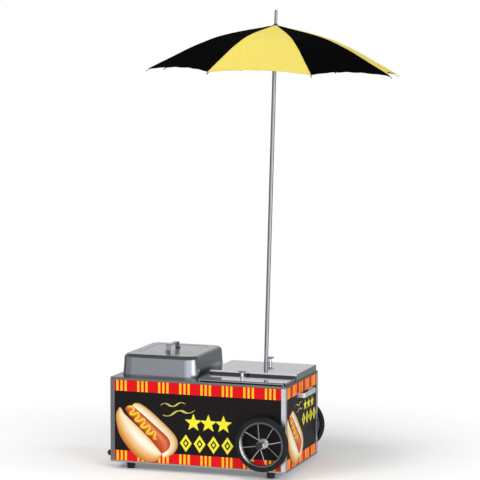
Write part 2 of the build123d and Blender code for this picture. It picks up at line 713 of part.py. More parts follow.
def end_handles():
    """A flat bow on each end panel: the outer half of a rounded frame."""
    mid_y, span = (HANDLE_Y0 + HANDLE_Y1) / 2, HANDLE_Y1 - HANDLE_Y0
    with BuildPart() as body:
        for side in (-1, 1):
            with BuildSketch(Plane.XY.offset(HANDLE_Z - HANDLE_H / 2)):
                with Locations((side * PANEL_X, mid_y)):
                    RectangleRounded(2 * HANDLE_OUT, span + HANDLE_LEG, 12)
                    RectangleRounded(2 * (HANDLE_OUT - HANDLE_BAR), span - HANDLE_LEG, 7,
                                     mode=Mode.SUBTRACT)
                with Locations((side * (PANEL_X - HANDLE_OUT), mid_y)):
                    Rectangle(2 * HANDLE_OUT, span + 2 * HANDLE_LEG, mode=Mode.SUBTRACT)
            extrude(amount=HANDLE_H)
        # round the top and bottom edges, except those against the panels
        levels = body.faces().sort_by(Axis.Z)
        fillet([edge for face in (levels[0], levels[1], levels[-1], levels[-2])
                for edge in face.edges()
                if abs(abs(edge.center().X) - PANEL_X) > 0.01], 1.5)
        for side in (-1, 1):
            with BuildSketch(Plane(origin=(side * PANEL_X, 0, HANDLE_Z),
                                   x_dir=(0, 1, 0), z_dir=(side, 0, 0))):
                with Locations((HANDLE_Y0, 0), (HANDLE_Y1, 0)):
                    Circle(SCREW_HOLE_R)
            extrude(amount=SCREW_L, mode=Mode.SUBTRACT)
    return body.part


def screws():
    """Pan head screws of the back panel, feet, end handles and socket flange."""
    # seat of the head, direction of the shank, length of the shank
    places = [((x, DEPTH / 2, z), (0, -1, 0), SCREW_L) for x, z in BACK_SCREWS]
    places += [((x, y, FOOT_SEAT), (0, 0, 1), SCREW_L) for x, y in FOOT_SPOTS]
    places += [((side * (PANEL_X - SHEET), y, HANDLE_Z), (side, 0, 0), SCREW_L)
               for side in (-1, 1) for y in (HANDLE_Y0, HANDLE_Y1)]
    places += [((x, y, BUN_FLOOR + SHEET + FLANGE_T), (0, 0, -1), SOCKET_SCREW_L)
               for x, y in SOCKET_SCREWS]
    with BuildPart() as body:
        for seat, way, length in places:
            with BuildSketch(Plane(origin=seat, z_dir=way)):
                Circle(SCREW_R)
            extrude(amount=length)
            with BuildSketch(Plane(origin=seat, z_dir=(-way[0], -way[1], -way[2]))):
                Circle(HEAD_R)
            extrude(amount=HEAD_H, taper=HEAD_DRAFT)
            head_top = tuple(s - w * HEAD_H for s, w in zip(seat, way))
            with BuildSketch(Plane(origin=head_top, z_dir=way)):
                Rectangle(CROSS_L, CROSS_W)
                Rectangle(CROSS_W, CROSS_L)
            extrude(amount=CROSS_DEEP, mode=Mode.SUBTRACT)
    return body.part


# ---------------------------------------------------------------------------
# Lids
# ---------------------------------------------------------------------------
# turned mushroom knob: radius, and height above the lid
KNOB = [(0, -7), (2.5, -7), (2.5, 0), (11, 0), (11, 1.6), (7.6, 4.2), (7.2, 17.5),
        (10.5, 20.5), (17.6, 21.6), (18, 23.2), (17.2, 25.4), (12, 27.6), (0, 28.4)]


def dome_lid():
    inner = (DOME_L - 2 * SHEET, DOME_D - 2 * SHEET, DOME_R - SHEET)
    outside = formed_block(well_plane(DOME_Z), DOME_L, DOME_D, DOME_R,
                           height=DOME_H, bend=DOME_ROUND, taper=DOME_DRAFT, end=-1)
    hollow = formed_block(well_plane(DOME_Z), *inner, height=DOME_H - SHEET,
                          bend=DOME_ROUND - SHEET, taper=DOME_DRAFT, end=-1)
    with BuildPart() as body:
        add(outside)
        add(hollow, mode=Mode.SUBTRACT)
        # rolled foot around the bottom edge
        with BuildSketch(well_plane(DOME_Z)):
            RectangleRounded(DOME_L + 3, DOME_D + 3, DOME_R + 1.5)
            RectangleRounded(*inner, mode=Mode.SUBTRACT)
        extrude(amount=3)
        # shallow recess pressed into the top
        with BuildSketch(well_plane(RECESS_Z - SHEET)):
            RectangleRounded(RECESS_L + 2, RECESS_D + 2, RECESS_R + 1)
        extrude(amount=SHEET)
        with BuildSketch(well_plane(RECESS_Z)):
            RectangleRounded(RECESS_L, RECESS_D, RECESS_R)
        extrude(amount=RECESS, mode=Mode.SUBTRACT)
        with BuildSketch(Plane.XY.offset(RECESS_Z - SHEET)):
            with Locations(*[(WELL_X, y) for y in STUD_YS]):
                Circle(STUD_HOLE_R)
        extrude(amount=SHEET, mode=Mode.SUBTRACT)
    return body.part


def dome_handle():
    """Strap bent into a bow along Y, with a welded stud at each foot."""
    end = DOME_HANDLE_L / 2
    heel, shoulder = end - 16, end - 20     # bottom and top of each leg's inner face
    with BuildPart() as body:
        with BuildSketch(facing_right(WELL_X - DOME_HANDLE_W / 2, DOME_HANDLE_Y, RECESS_Z)):
            with BuildLine():
                FilletPolyline((-end, 0), (-heel, 0), (-shoulder, DOME_HANDLE_H - STRAP),
                               (shoulder, DOME_HANDLE_H - STRAP), (heel, 0), (end, 0),
                               radius=4)
                FilletPolyline((end, STRAP), (heel + STRAP, STRAP),
                               (shoulder + STRAP, DOME_HANDLE_H),
                               (-shoulder - STRAP, DOME_HANDLE_H),
                               (-heel - STRAP, STRAP), (-end, STRAP), radius=4)
                Line((-end, STRAP), (-end, 0))
                Line((end, 0), (end, STRAP))
            make_face()
        extrude(amount=DOME_HANDLE_W)
        # studs through the dome, with their heads on the strap
        for y in STUD_YS:
            with BuildSketch(facing_up(WELL_X, y, RECESS_Z - 6)):
                Circle(STUD_R)
            extrude(amount=8)
            with BuildSketch(facing_up(WELL_X, y, RECESS_Z + STRAP)):
                Circle(4)
            extrude(amount=1.6, taper=20)
    return body.part


def front_lid():
    """Shallow tray turned over, its front edge rolled into a hinge barrel."""
    mid_x, mid_y = (FRONT_LID_X0 + FRONT_LID_X1) / 2, (HINGE_Y + FRONT_LID_Y1) / 2
    length, depth = FRONT_LID_X1 - FRONT_LID_X0, FRONT_LID_Y1 - HINGE_Y
    with BuildPart() as body:
        with BuildSketch(facing_up(mid_x, mid_y, HEIGHT + 0.2)):
            Rectangle(length, depth)
        extrude(amount=FRONT_LID_TOP - HEIGHT - 0.2)
        fillet(body.faces().sort_by(Axis.Y)[-1].edges().filter_by(Axis.Z), 3)
        # the hollow runs out through the front
        with BuildSketch(facing_up(mid_x, mid_y - 10, HEIGHT)):
            RectangleRounded(length - 2 * SHEET, depth - 2 * SHEET + 20, 1.8)
        extrude(amount=FRONT_LID_TOP - HEIGHT - SHEET, mode=Mode.SUBTRACT)
        # clear the ends and the skirts near the hinge
        with BuildSketch(Plane.XY.offset(HEIGHT)):
            with Locations(((FRONT_LID_X0 + BARREL_X0) / 2 - 2, HINGE_Y),
                           ((FRONT_LID_X1 + BARREL_X1) / 2 + 2, HINGE_Y)):
                Rectangle(BARREL_X0 - FRONT_LID_X0 + 4, 16)
        extrude(amount=20, mode=Mode.SUBTRACT)
        with BuildSketch(facing_right(BARREL_X0, HINGE_Y, HINGE_Z)):
            Circle(HINGE_R)
        extrude(amount=BARREL_X1 - BARREL_X0)
        with BuildSketch(facing_right(BARREL_X0, HINGE_Y, HINGE_Z)):
            Circle(HINGE_PIN_R + 0.05)
        extrude(amount=BARREL_X1 - BARREL_X0, mode=Mode.SUBTRACT)
        with BuildSketch(Plane.XY.offset(FRONT_LID_TOP - SHEET)):
            with Locations(FRONT_KNOB):
                Circle(STUD_HOLE_R)
        extrude(amount=SHEET, mode=Mode.SUBTRACT)
    return body.part


def hinge_brackets():
    """An ear, a pin and a foot at each end of the barrel."""
    with BuildPart() as body:
        for x0, inward in ((6.0, 1), (375.0, -1)):
            with BuildSketch(Plane(origin=(x0, HINGE_Y, 0),
                                   x_dir=(0, inward, 0), z_dir=(inward, 0, 0))):
                with BuildLine():
                    Polyline((-HINGE_R, HEIGHT), (HINGE_R, HEIGHT), (HINGE_R, HINGE_Z),
                             (-HINGE_R, HINGE_Z), close=True)
                make_face()
                with Locations((0, HINGE_Z)):
                    Circle(HINGE_R)
            extrude(amount=4)
            with BuildSketch(Plane(origin=(x0, HINGE_Y, HINGE_Z), z_dir=(inward, 0, 0))):
                Circle(HINGE_PIN_R)
            extrude(amount=22)
            with BuildSketch(facing_up(x0 - inward * 2.0, HINGE_Y, HEIGHT)):
                Rectangle(6, 2 * HINGE_R)
            extrude(amount=1.5)
    return body.part


def rear_lid():
    """Deeper loose lid that the pole passes through."""
    mid_x, mid_y = (REAR_LID_X0 + REAR_LID_X1) / 2, (REAR_LID_Y0 + REAR_LID_Y1) / 2
    length, depth, radius = REAR_LID_X1 - REAR_LID_X0, REAR_LID_Y1 - REAR_LID_Y0, 4
    with BuildPart() as body:
        with BuildSketch(facing_up(mid_x, mid_y, HEIGHT + 0.2)):
            RectangleRounded(length, depth, radius)
        extrude(amount=REAR_LID_TOP - HEIGHT - 0.2)
        fillet(body.faces().sort_by(Axis.Z)[-1].edges(), 1.5)
        with BuildSketch(facing_up(mid_x, mid_y, HEIGHT)):
            RectangleRounded(length - 2 * SHEET, depth - 2 * SHEET, radius - SHEET)
        extrude(amount=REAR_LID_TOP - HEIGHT - SHEET, mode=Mode.SUBTRACT)
        # hole for the pole, its edge rolled up a little
        with BuildSketch(UMBRELLA.offset(-SHEET / 2)):
            Circle(POLE_R + 2.7)
        extrude(amount=1.6)
        with BuildSketch(UMBRELLA.offset(-10)):
            Circle(POLE_R + 1.5)
        extrude(amount=20, mode=Mode.SUBTRACT)
        with BuildSketch(Plane.XY.offset(REAR_LID_TOP - SHEET)):
            with Locations(REAR_KNOB):
                Circle(STUD_HOLE_R)
        extrude(amount=SHEET, mode=Mode.SUBTRACT)
    return body.part


def lid_knob(spot, lid_top):
    x, y = spot
    return turned(facing_front(x, y, lid_top), KNOB, Axis((x, y, 0), (0, 0, 1)))


# ---------------------------------------------------------------------------
# Wheels: decorative wire wheels, free to turn on stub axles. The profiles are
# half sections: distance outward from the tyre's centre plane, and radius from
# the axle. Side is -1 for the front wheel and 1 for the rear.
# ---------------------------------------------------------------------------
HUB_IN, HUB_OUT = -26.6, 28.5          # ends of the hub
FLANGE_IN, FLANGE_OUT = -24.0, 24.5    # planes of the two spoke flanges
PANEL_OFF = PANEL_Y - WHEEL_Y          # outer face of the cabinet panel
NUT_R, NUT_T = 6.5, 6.5
SPOKE_R, SPOKE_END_R, FIRST_SPOKE = 2.1, 86.6, 11.0    # the last one in degrees

TYRE = [(-7.3, 88.0), (-7.3, 95.2), (-10.6, 97.5), (-12.0, 102.0), (-11.6, 107.5),
        (-9.0, 111.8), (-4.8, 114.4), (0, 115.0), (4.8, 114.4), (9.0, 111.8),
        (11.6, 107.5), (12.0, 102.0), (10.6, 97.5), (7.3, 95.2), (7.3, 88.0)]
RIM = [(-9.0, 95.0), (-9.0, 87.5), (-6.5, 85.8), (6.5, 85.8), (9.0, 87.5), (9.0, 95.0),
       (7.5, 95.0), (7.5, 87.6), (-7.5, 87.6), (-7.5, 95.0)]
HUB = [(HUB_IN, AXLE_R + FIT), (HUB_OUT, AXLE_R + FIT), (HUB_OUT, 14.5),
       (FLANGE_OUT + 1.5, 17.0), (FLANGE_OUT - 1.5, 17.0), (FLANGE_OUT - 4.0, 10.5),
       (FLANGE_IN + 5.0, 10.5), (FLANGE_IN + 1.5, 21.0), (FLANGE_IN - 1.5, 21.0),
       (HUB_IN, 14.0)]
HUB_CAP = [(HUB_OUT, 14.0), (HUB_OUT + 8.0, 14.0), (HUB_OUT + 11.0, 11.5),
           (HUB_OUT + 12.0, 7.0), (HUB_OUT + 12.2, 0), (HUB_OUT + 10.7, 0),
           (HUB_OUT + 10.5, 7.0), (HUB_OUT + 9.6, 10.2), (HUB_OUT + 7.0, 12.2),
           (HUB_OUT, 12.2)]
# threaded end inside the cabinet, flange on the panel, journal, threaded outer end
STUB_AXLE = [(PANEL_OFF - 13, 0), (PANEL_OFF - 13, AXLE_END_R), (PANEL_OFF, AXLE_END_R),
             (PANEL_OFF, 18.0), (PANEL_OFF + 2.6, 18.0), (PANEL_OFF + 3.4, 9.0),
             (HUB_IN - 0.2, 9.0), (HUB_IN - 0.2, AXLE_R), (HUB_OUT + 0.1, AXLE_R),
             (HUB_OUT + 0.1, AXLE_END_R), (HUB_OUT + 8.6, AXLE_END_R), (HUB_OUT + 8.6, 0)]


def wheel_section(side):
    """Upright plane through the axle: local X runs outward from the cabinet."""
    return Plane(origin=(WHEEL_X, side * WHEEL_Y, WHEEL_Z),
                 x_dir=(0, side, 0), z_dir=(side, 0, 0))


def wheel_spin(side):
    return Axis((WHEEL_X, side * WHEEL_Y, WHEEL_Z), (0, 1, 0))


def wheel(side):
    """Rim, hub and spokes, which run in turn from the outer and the inner flange."""
    with BuildPart() as body:
        with BuildSketch(wheel_section(side)):
            for profile in (RIM, HUB):
                with BuildLine():
                    Polyline(*profile, close=True)
                make_face()
        revolve(axis=wheel_spin(side))
        for n in range(8):
            offset_y, start_r = (FLANGE_OUT, 14.0) if n % 2 == 0 else (FLANGE_IN, 17.0)
            angle = radians(FIRST_SPOKE + 45.0 * n)
            start = Vector(WHEEL_X + start_r * cos(angle), side * (WHEEL_Y + offset_y),
                           WHEEL_Z + start_r * sin(angle))
            stop = Vector(WHEEL_X + SPOKE_END_R * cos(angle),
                          side * (WHEEL_Y + 0.02 * offset_y),
                          WHEEL_Z + SPOKE_END_R * sin(angle))
            with BuildSketch(Plane(origin=start, z_dir=stop - start)):
                Circle(SPOKE_R)
            extrude(amount=(stop - start).length)
    return body.part


def stub_axles():
    with BuildPart() as body:
        for side in (-1, 1):
            with BuildSketch(wheel_section(side)):
                with BuildLine():
                    Polyline(*STUB_AXLE, close=True)
                make_face()
            revolve(axis=wheel_spin(side))
    return body.part


def axle_nuts():
    """One nut inside the cabinet panel and one outside the hub, for each wheel."""
    with BuildPart() as body:
        for side in (-1, 1):
            for offset_y in (PANEL_OFF - SHEET - NUT_T, HUB_OUT + 0.2):
                with BuildSketch(Plane(origin=(WHEEL_X, side * (WHEEL_Y + offset_y), WHEEL_Z),
                                       z_dir=(0, side, 0))):
                    RegularPolygon(NUT_R, 6, major_radius=False)
                    Circle(AXLE_END_R + 0.02, mode=Mode.SUBTRACT)
                extrude(amount=NUT_T)
    return body.part


# ---------------------------------------------------------------------------
# Umbrella. The lower pole stands in the socket, the upper pole plugs into it.
# ---------------------------------------------------------------------------
def pole_lower():
    """Tube with a solid foot."""
    with BuildPart() as body:
        with BuildSketch(UMBRELLA.offset(POLE_FOOT)):
            Circle(POLE_R)
        extrude(amount=POLE_SPLIT - POLE_FOOT)
        with BuildSketch(UMBRELLA.offset(POLE_FOOT + 12)):
            Circle(POLE_R - POLE_WALL)
        extrude(amount=POLE_SPLIT - POLE_FOOT, mode=Mode.SUBTRACT)
    return body.part


def pole_upper():
    """Spigot, pole and narrow tip, bored from below."""
    with BuildPart() as body:
        with BuildSketch(UMBRELLA.offset(POLE_SPLIT - SPIGOT)):
            Circle(POLE_R - POLE_WALL - FIT)
        extrude(amount=SPIGOT)
        with BuildSketch(UMBRELLA.offset(POLE_SPLIT)):
            Circle(POLE_R)
        extrude(amount=CROWN_LOW - POLE_SPLIT)
        with BuildSketch(UMBRELLA.offset(CROWN_LOW)):
            Circle(TIP_R)
        extrude(amount=CROWN_S + 8 - CROWN_LOW)
        with BuildSketch(UMBRELLA.offset(POLE_SPLIT - SPIGOT)):
            Circle(POLE_R - 2.6)
        extrude(amount=CROWN_LOW - POLE_SPLIT + SPIGOT - 10, mode=Mode.SUBTRACT)
    return body.part


def crown():
    """Notched disc with the wire ring that the ribs hinge on."""
    with BuildPart() as body:
        with BuildSketch(UMBRELLA.offset(CROWN_LOW)):
            Circle(CROWN_R)
        extrude(amount=CROWN_HIGH - CROWN_LOW)
        for n in range(8):
            with BuildSketch(rib_plane(n)):
                with Locations((11.6 + 20, CROWN_S - 8)):
                    Rectangle(40, 20)
            extrude(amount=SLOT / 2, both=True, mode=Mode.SUBTRACT)
        with BuildSketch(UMBRELLA.offset(CROWN_LOW)):
            Circle(TIP_R + 0.05)
        extrude(amount=30, mode=Mode.SUBTRACT)
        with BuildSketch(rib_plane(0)):
            with Locations((RIB_HINGE_R, HINGE_S)):
                Circle(HINGE_WIRE_R)
        revolve(axis=POLE_AXIS)
    return body.part


def ferrule():
    """Spike over the pole's tip, with a flange above the canopy."""
    # radius, and height above the top of the canopy
    profile = [(TIP_R + 0.05, 0.3), (14.5, 0.3), (14.5, 2.0), (9.0, 4.5), (6.3, 8.8),
               (6.3, 61.0), (5.6, 63.2), (4.0, 64.6), (0, 65.2), (0, 8.3), (TIP_R + 0.05, 8.3)]
    return turned(rib_plane(0), [(r, CROWN_S + rise) for r, rise in profile], POLE_AXIS)


def runner():
    """Notched collar on the pole that the stretchers hinge on."""
    sleeve_r, sleeve_low = 11.4, RUNNER_S - 46
    with BuildPart() as body:
        with BuildSketch(UMBRELLA.offset(sleeve_low)):
            Circle(sleeve_r)
        extrude(amount=56)
        with BuildSketch(UMBRELLA.offset(RUNNER_S - 4)):
            Circle(22)
        extrude(amount=8)
        for n in range(8):
            with BuildSketch(rib_plane(n)):
                with Locations((sleeve_r + 20, RUNNER_S)):
                    Rectangle(40, 30)
            extrude(amount=SLOT / 2, both=True, mode=Mode.SUBTRACT)
        with BuildSketch(UMBRELLA.offset(sleeve_low)):
            Circle(POLE_R + FIT)
        extrude(amount=60, mode=Mode.SUBTRACT)
    return body.part


# centre line of a rib under the canopy: radius and drop
RIB_LINE = [(r, canopy_drop(r) + 4.1)
            for r in sorted([30, RIB_JOINT_R] + [station for station, _ in CANOPY[1:]])]
RIB_LINE += [(RIM_RADIUS + 5, RIM_DROP + 6.7)]


def rib(n):
    joint = (RIB_JOINT_R, JOINT_S)
    hinge = (RIB_HINGE_R, HINGE_S)
    ball_x, ball_y, ball_r = RIM_RADIUS + 7.6, CROWN_S - RIM_DROP - 8.2, 2.8
    with BuildPart() as body:
        with BuildSketch(rib_plane(n)):
            # the web of the rib, following the canopy
            with BuildLine():
                Polyline((RIB_HINGE_R, HINGE_S - RIB_HALF),
                         *[(r, CROWN_S - drop - RIB_HALF) for r, drop in RIB_LINE],
                         *[(r, CROWN_S - drop + RIB_HALF) for r, drop in RIB_LINE[::-1]],
                         (RIB_HINGE_R, HINGE_S + RIB_HALF), close=True)
            make_face()
            with Locations(hinge):
                Circle(3.0)
            with Locations(joint):
                Circle(3.4)
            with Locations(hinge):
                Circle(EYE_R, mode=Mode.SUBTRACT)
            with Locations(joint):
                Circle(1.05, mode=Mode.SUBTRACT)
        extrude(amount=RIB_W / 2, both=True)
        # ball tip that the corner of the canopy is tied to
        with BuildSketch(rib_plane(n)):
            with BuildLine():
                CenterArc((ball_x, ball_y), ball_r, -90, 180)
                Line((ball_x, ball_y + ball_r), (ball_x, ball_y - ball_r))
            make_face()
        revolve(axis=Axis(along(ball_y) + rib_dir(n) * ball_x, POLE_DIR))
    return body.part


def stretcher_box(start, stop, half):
    """Corners, in the rib's plane, of a box along the stretcher from its runner end."""
    way = Vector(RIB_JOINT_R - RIB_HINGE_R, STRETCHER_RISE).normalized()
    return [(RIB_HINGE_R + way.X * reach - way.Y * across,
             RUNNER_S + way.Y * reach + way.X * across)
            for reach, across in ((start, -half), (stop, -half), (stop, half), (start, half))]


def stretcher(n):
    joint = (RIB_JOINT_R, JOINT_S)
    bar_end = STRETCHER_L - 14
    fork_half_w = RIB_W / 2 + 1.6
    with BuildPart() as body:
        with BuildSketch(rib_plane(n)):
            with BuildLine():
                Polyline(*stretcher_box(0, bar_end, 2), close=True)
            make_face()
            with Locations((RIB_HINGE_R, RUNNER_S)):
                Circle(3.0)
                Circle(EYE_R, mode=Mode.SUBTRACT)
        extrude(amount=RIB_W / 2, both=True)
        # fork that straddles the rib, with its rivet
        with BuildSketch(rib_plane(n)):
            with BuildLine():
                Polyline(*stretcher_box(STRETCHER_L - 24, STRETCHER_L, 2), close=True)
            make_face()
            with Locations(joint):
                Circle(3.2)
        extrude(amount=fork_half_w, both=True)
        with BuildSketch(rib_plane(n)):
            with BuildLine():
                Polyline(*stretcher_box(bar_end, STRETCHER_L + 6, 8), close=True)
            make_face()
        extrude(amount=RIB_W / 2 + 0.2, both=True, mode=Mode.SUBTRACT)
        with BuildSketch(rib_plane(n)):
            with Locations(joint):
                Circle(1.0)
        extrude(amount=fork_half_w, both=True)
    return body.part


def canopy():
    """Eight gores stretched over the ribs, as one thin faceted shell."""
    with BuildPart() as body:
        # the outside is built up ring by ring, then the inside is cut away
        for lowered, mode in ((0, Mode.ADD), (CANOPY_T, Mode.SUBTRACT)):
            for ring in zip(CANOPY, CANOPY[1:]):
                for radius, drop in ring:
                    with BuildSketch(UMBRELLA.offset(CROWN_S - drop - lowered)):
                        RegularPolygon(radius, 8, rotation=RIB_PHASE)
                loft(ruled=True, mode=mode)
        with BuildSketch(UMBRELLA.offset(CROWN_S - 10)):
            Circle(6)
        extrude(amount=20, mode=Mode.SUBTRACT)
    return body.part


# ---------------------------------------------------------------------------
# Build and save. These functions bear the names of their files.
# ---------------------------------------------------------------------------
for piece in (base_pan, corner_posts, front_panel, back_panel, deck,
              water_pan, hot_dog_pan, heating_element, drain_valve, drain_knob,
              bun_pan, umbrella_socket,
              thermostat, thermostat_knob, power_switch, power_rocker, pilot_lamp, power_cord,
              feet, end_handles, screws,
              dome_lid, dome_handle, front_lid, hinge_brackets, rear_lid,
              stub_axles, axle_nuts,
              pole_lower, pole_upper, crown, ferrule, runner, canopy):
    save(piece(), piece.__name__)

save(end_panel(-PANEL_X), "left_panel")
save(end_panel(PANEL_X - SHEET), "right_panel")
save(lid_knob(FRONT_KNOB, FRONT_LID_TOP), "front_lid_knob")
save(lid_knob(REAR_KNOB, REAR_LID_TOP), "rear_lid_knob")
for side, name in ((-1, "front"), (1, "rear")):
    save(turned(wheel_section(side), TYRE, wheel_spin(side)), f"{name}_tyre")
    save(wheel(side), f"{name}_wheel")
    save(turned(wheel_section(side), HUB_CAP, wheel_spin(side)), f"{name}_hub_cap")
for n in range(8):
    save(rib(n), f"rib_{n + 1}")
    save(stretcher(n), f"stretcher_{n + 1}")
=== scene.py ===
"""Looks and stage for a hot dog cart with an umbrella.

The cabinet is centred on the z axis: x runs along its length to the right end, the front faces -y
and z is up, in metres. The umbrella stands on a pole right of the middle and leans slightly.
The CAD pieces get materials, three panels get printed film, and the canopy is built anew.
"""
import math
import random
from collections import namedtuple

import bpy
import bmesh
import numpy as np
from mathutils import Matrix, Vector


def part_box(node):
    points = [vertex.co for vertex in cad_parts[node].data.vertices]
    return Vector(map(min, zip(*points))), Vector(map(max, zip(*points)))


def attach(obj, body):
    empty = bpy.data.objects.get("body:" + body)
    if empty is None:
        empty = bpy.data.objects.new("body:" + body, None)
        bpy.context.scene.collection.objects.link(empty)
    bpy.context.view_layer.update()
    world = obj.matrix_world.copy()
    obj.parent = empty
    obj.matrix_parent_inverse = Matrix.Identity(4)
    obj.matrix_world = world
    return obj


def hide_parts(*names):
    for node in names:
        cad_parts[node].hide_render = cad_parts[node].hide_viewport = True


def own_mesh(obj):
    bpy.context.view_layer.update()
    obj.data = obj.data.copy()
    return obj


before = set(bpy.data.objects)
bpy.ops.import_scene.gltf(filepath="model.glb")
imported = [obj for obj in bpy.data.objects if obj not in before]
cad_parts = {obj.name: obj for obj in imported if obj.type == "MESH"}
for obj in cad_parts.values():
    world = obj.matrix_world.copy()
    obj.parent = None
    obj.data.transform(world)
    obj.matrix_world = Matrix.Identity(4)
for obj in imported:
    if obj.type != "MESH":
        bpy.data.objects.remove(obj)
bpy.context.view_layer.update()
random.seed(7)
scene = bpy.context.scene

# ---------------------------------------------------------------------------
# driving dimensions
# ---------------------------------------------------------------------------
CABINET_LENGTH, CABINET_DEPTH = 0.775, 0.452
PANEL_INSET = 0.0015
PANEL_X = CABINET_LENGTH / 2 - PANEL_INSET
PANEL_Y = CABINET_DEPTH / 2 - PANEL_INSET
WHEEL_X, WHEEL_Z = 0.2945, 0.120

POLE_BASE = np.array([0.2051, 0.0666, 0.387])
CROWN_HEIGHT = 1.445            # along the pole from its base
LEAN_X, LEAN_Y = math.radians(1.21), math.radians(1.07)
# umbrella axes: along the pole, and two across it
POLE_AXIS = np.array([math.sin(LEAN_X), math.sin(LEAN_Y), 1.0])
POLE_AXIS /= np.linalg.norm(POLE_AXIS)
ACROSS_X = np.cross([0.0, 1.0, 0.0], POLE_AXIS)
ACROSS_X /= np.linalg.norm(ACROSS_X)
ACROSS_Y = np.cross(POLE_AXIS, ACROSS_X)


# ---------------------------------------------------------------------------
# colour and number helpers
# ---------------------------------------------------------------------------
def clamp(value):
    return min(1.0, max(0.0, value))


def srgb(*display):
    """0-255 display colour to linear RGBA."""
    def linear(channel):
        channel /= 255.0
        return channel / 12.92 if channel <= 0.04045 else ((channel + 0.055) / 1.055) ** 2.4
    return tuple(linear(channel) for channel in display) + (1.0,)


def tone(colour, gain=1.0, lift=0.0):
    """RGBA of a colour made lighter or darker."""
    return tuple(min(1.0, channel * gain + lift) for channel in colour[:3]) + (1.0,)


def blend(first, second, share):
    """RGB between two colours."""
    share = clamp(share)
    return tuple(a * (1 - share) + b * share for a, b in zip(first[:3], second[:3]))


# ---------------------------------------------------------------------------
# node graphs
# ---------------------------------------------------------------------------
class Graph:
    """One node tree. Wherever a node takes a value it may also take another node's output."""

    def __init__(self, owner):
        owner.use_nodes = True
        self.tree = owner.node_tree
        self.tree.nodes.clear()
        self.coordinates = self.node("TexCoord").outputs

    def feed(self, socket, value):
        if isinstance(value, bpy.types.NodeSocket):
            self.tree.links.new(value, socket)
        else:
            socket.default_value = value

    def node(self, kind, inputs=None, **properties):
        made = self.tree.nodes.new("ShaderNode" + kind)
        for name, value in properties.items():
            setattr(made, name, value)
        for key, value in (inputs or {}).items():
            self.feed(made.inputs[key], value)
        return made

    def axes(self, source="Object"):
        """Outputs X, Y and Z of the coordinates."""
        return self.node("SeparateXYZ", {0: self.coordinates[source]}).outputs

    def remap(self, value, span, to, **properties):
        return self.node("MapRange", {
            "Value": value, "From Min": span[0], "From Max": span[1],
            "To Min": to[0], "To Max": to[1]}, **properties).outputs["Result"]

    def math(self, operation, *values, clamped=False):
        made = self.node("Math", dict(enumerate(values)), operation=operation, use_clamp=clamped)
        return made.outputs[0]

    def mix_shaders(self, share, first, second):
        made = self.node("MixShader", {0: share, 1: first.outputs[0], 2: second.outputs[0]})
        return made.outputs[0]


class Material(Graph):
    """A material around one principled shader."""

    def __init__(self, name):
        self.data = bpy.data.materials.new(name)
        super().__init__(self.data)
        self.shader = self.node("BsdfPrincipled")
        self.output = self.node("OutputMaterial", {"Surface": self.shader.outputs[0]})

    def surface(self, inputs):
        for name, value in inputs.items():
            self.feed(self.shader.inputs[name], value)

    def base_colour(self):
        """The output that feeds the base colour now."""
        return self.shader.inputs["Base Color"].links[0].from_socket

    def noise(self, scale=1.0, detail=3.0, rough=0.6, distortion=0.0,
              stretch=(1, 1, 1), turn=(0, 0, 0), shift=(0, 0, 0)):
        """Noise in object space; stretch is the frequency along each axis."""
        mapping = self.node("Mapping", {
            "Scale": stretch, "Rotation": turn, "Location": shift,
            "Vector": self.coordinates["Object"]})
        return self.node("TexNoise", {
            "Scale": scale, "Detail": detail, "Roughness": rough, "Distortion": distortion,
            "Vector": mapping.outputs[0]}).outputs["Fac"]

    def ramp(self, value, low, high):
        made = self.node("ValToRGB", {"Fac": value})
        for stop, place, colour in zip(made.color_ramp.elements, (0.3, 0.7), (low, high)):
            stop.position = place
            stop.color = colour
        return made.outputs["Color"]

    def mix(self, share, first, second, blend_type="MIX"):
        # 0, 6, 7 and output 2 are the factor and the colour sockets
        made = self.node("Mix", data_type="RGBA", blend_type=blend_type)
        for key, value in ((0, share), (6, first), (7, second)):
            self.feed(made.inputs[key], value)
        return made.outputs[2]

    def bump(self, height, strength, distance, bevel=None):
        """Normal with a bump, over edges softened by the bevel radius."""
        inputs = {"Strength": strength, "Distance": distance, "Height": height}
        if bevel is not None:
            inputs["Normal"] = self.node("Bevel", {"Radius": bevel}, samples=4).outputs["Normal"]
        return self.node("Bump", inputs).outputs["Normal"]


# ---------------------------------------------------------------------------
# materials of the CAD pieces
# ---------------------------------------------------------------------------
def metal(name, colour, rough, grain, grain_bump, tint, smudge):
    """Satin or polished metal: grain lines, handling smudges, softened edges."""
    mat = Material(name)
    coarse = mat.noise(rough=0.65, stretch=grain)
    fine = mat.noise(detail=2.0, stretch=tuple(f * 3.1 for f in grain), shift=(1.3, 2.1, 0.4))
    blots = mat.noise(scale=9.0, detail=4.0, distortion=0.4, shift=(3.0, 1.0, 2.0))
    specks = mat.noise(scale=55.0, shift=(7.0, 4.0, 1.0))
    lines = mat.math("ADD", mat.math("MULTIPLY", coarse, 0.6), mat.math("MULTIPLY", fine, 0.4))

    roughness = mat.math("ADD", mat.remap(lines, span=(0.25, 0.75), to=rough),
                         mat.remap(blots, span=(0.35, 0.7), to=(-smudge * 0.4, smudge)))
    roughness = mat.math("ADD", roughness,
                         mat.remap(specks, span=(0.4, 0.7), to=(0.0, smudge * 0.5)), clamped=True)
    base = mat.ramp(lines, low=tone(colour, gain=1 - tint), high=tone(colour, gain=1 + tint))
    base = mat.mix(mat.remap(blots, span=(0.45, 0.75), to=(0.0, 0.35)),
                   base, tone(colour, gain=0.86))
    mat.surface({
        "Roughness": roughness,
        "Base Color": base,
        "Metallic": 1.0,
        "Normal": mat.bump(lines, strength=grain_bump, distance=0.0004, bevel=0.0005),
    })
    return mat


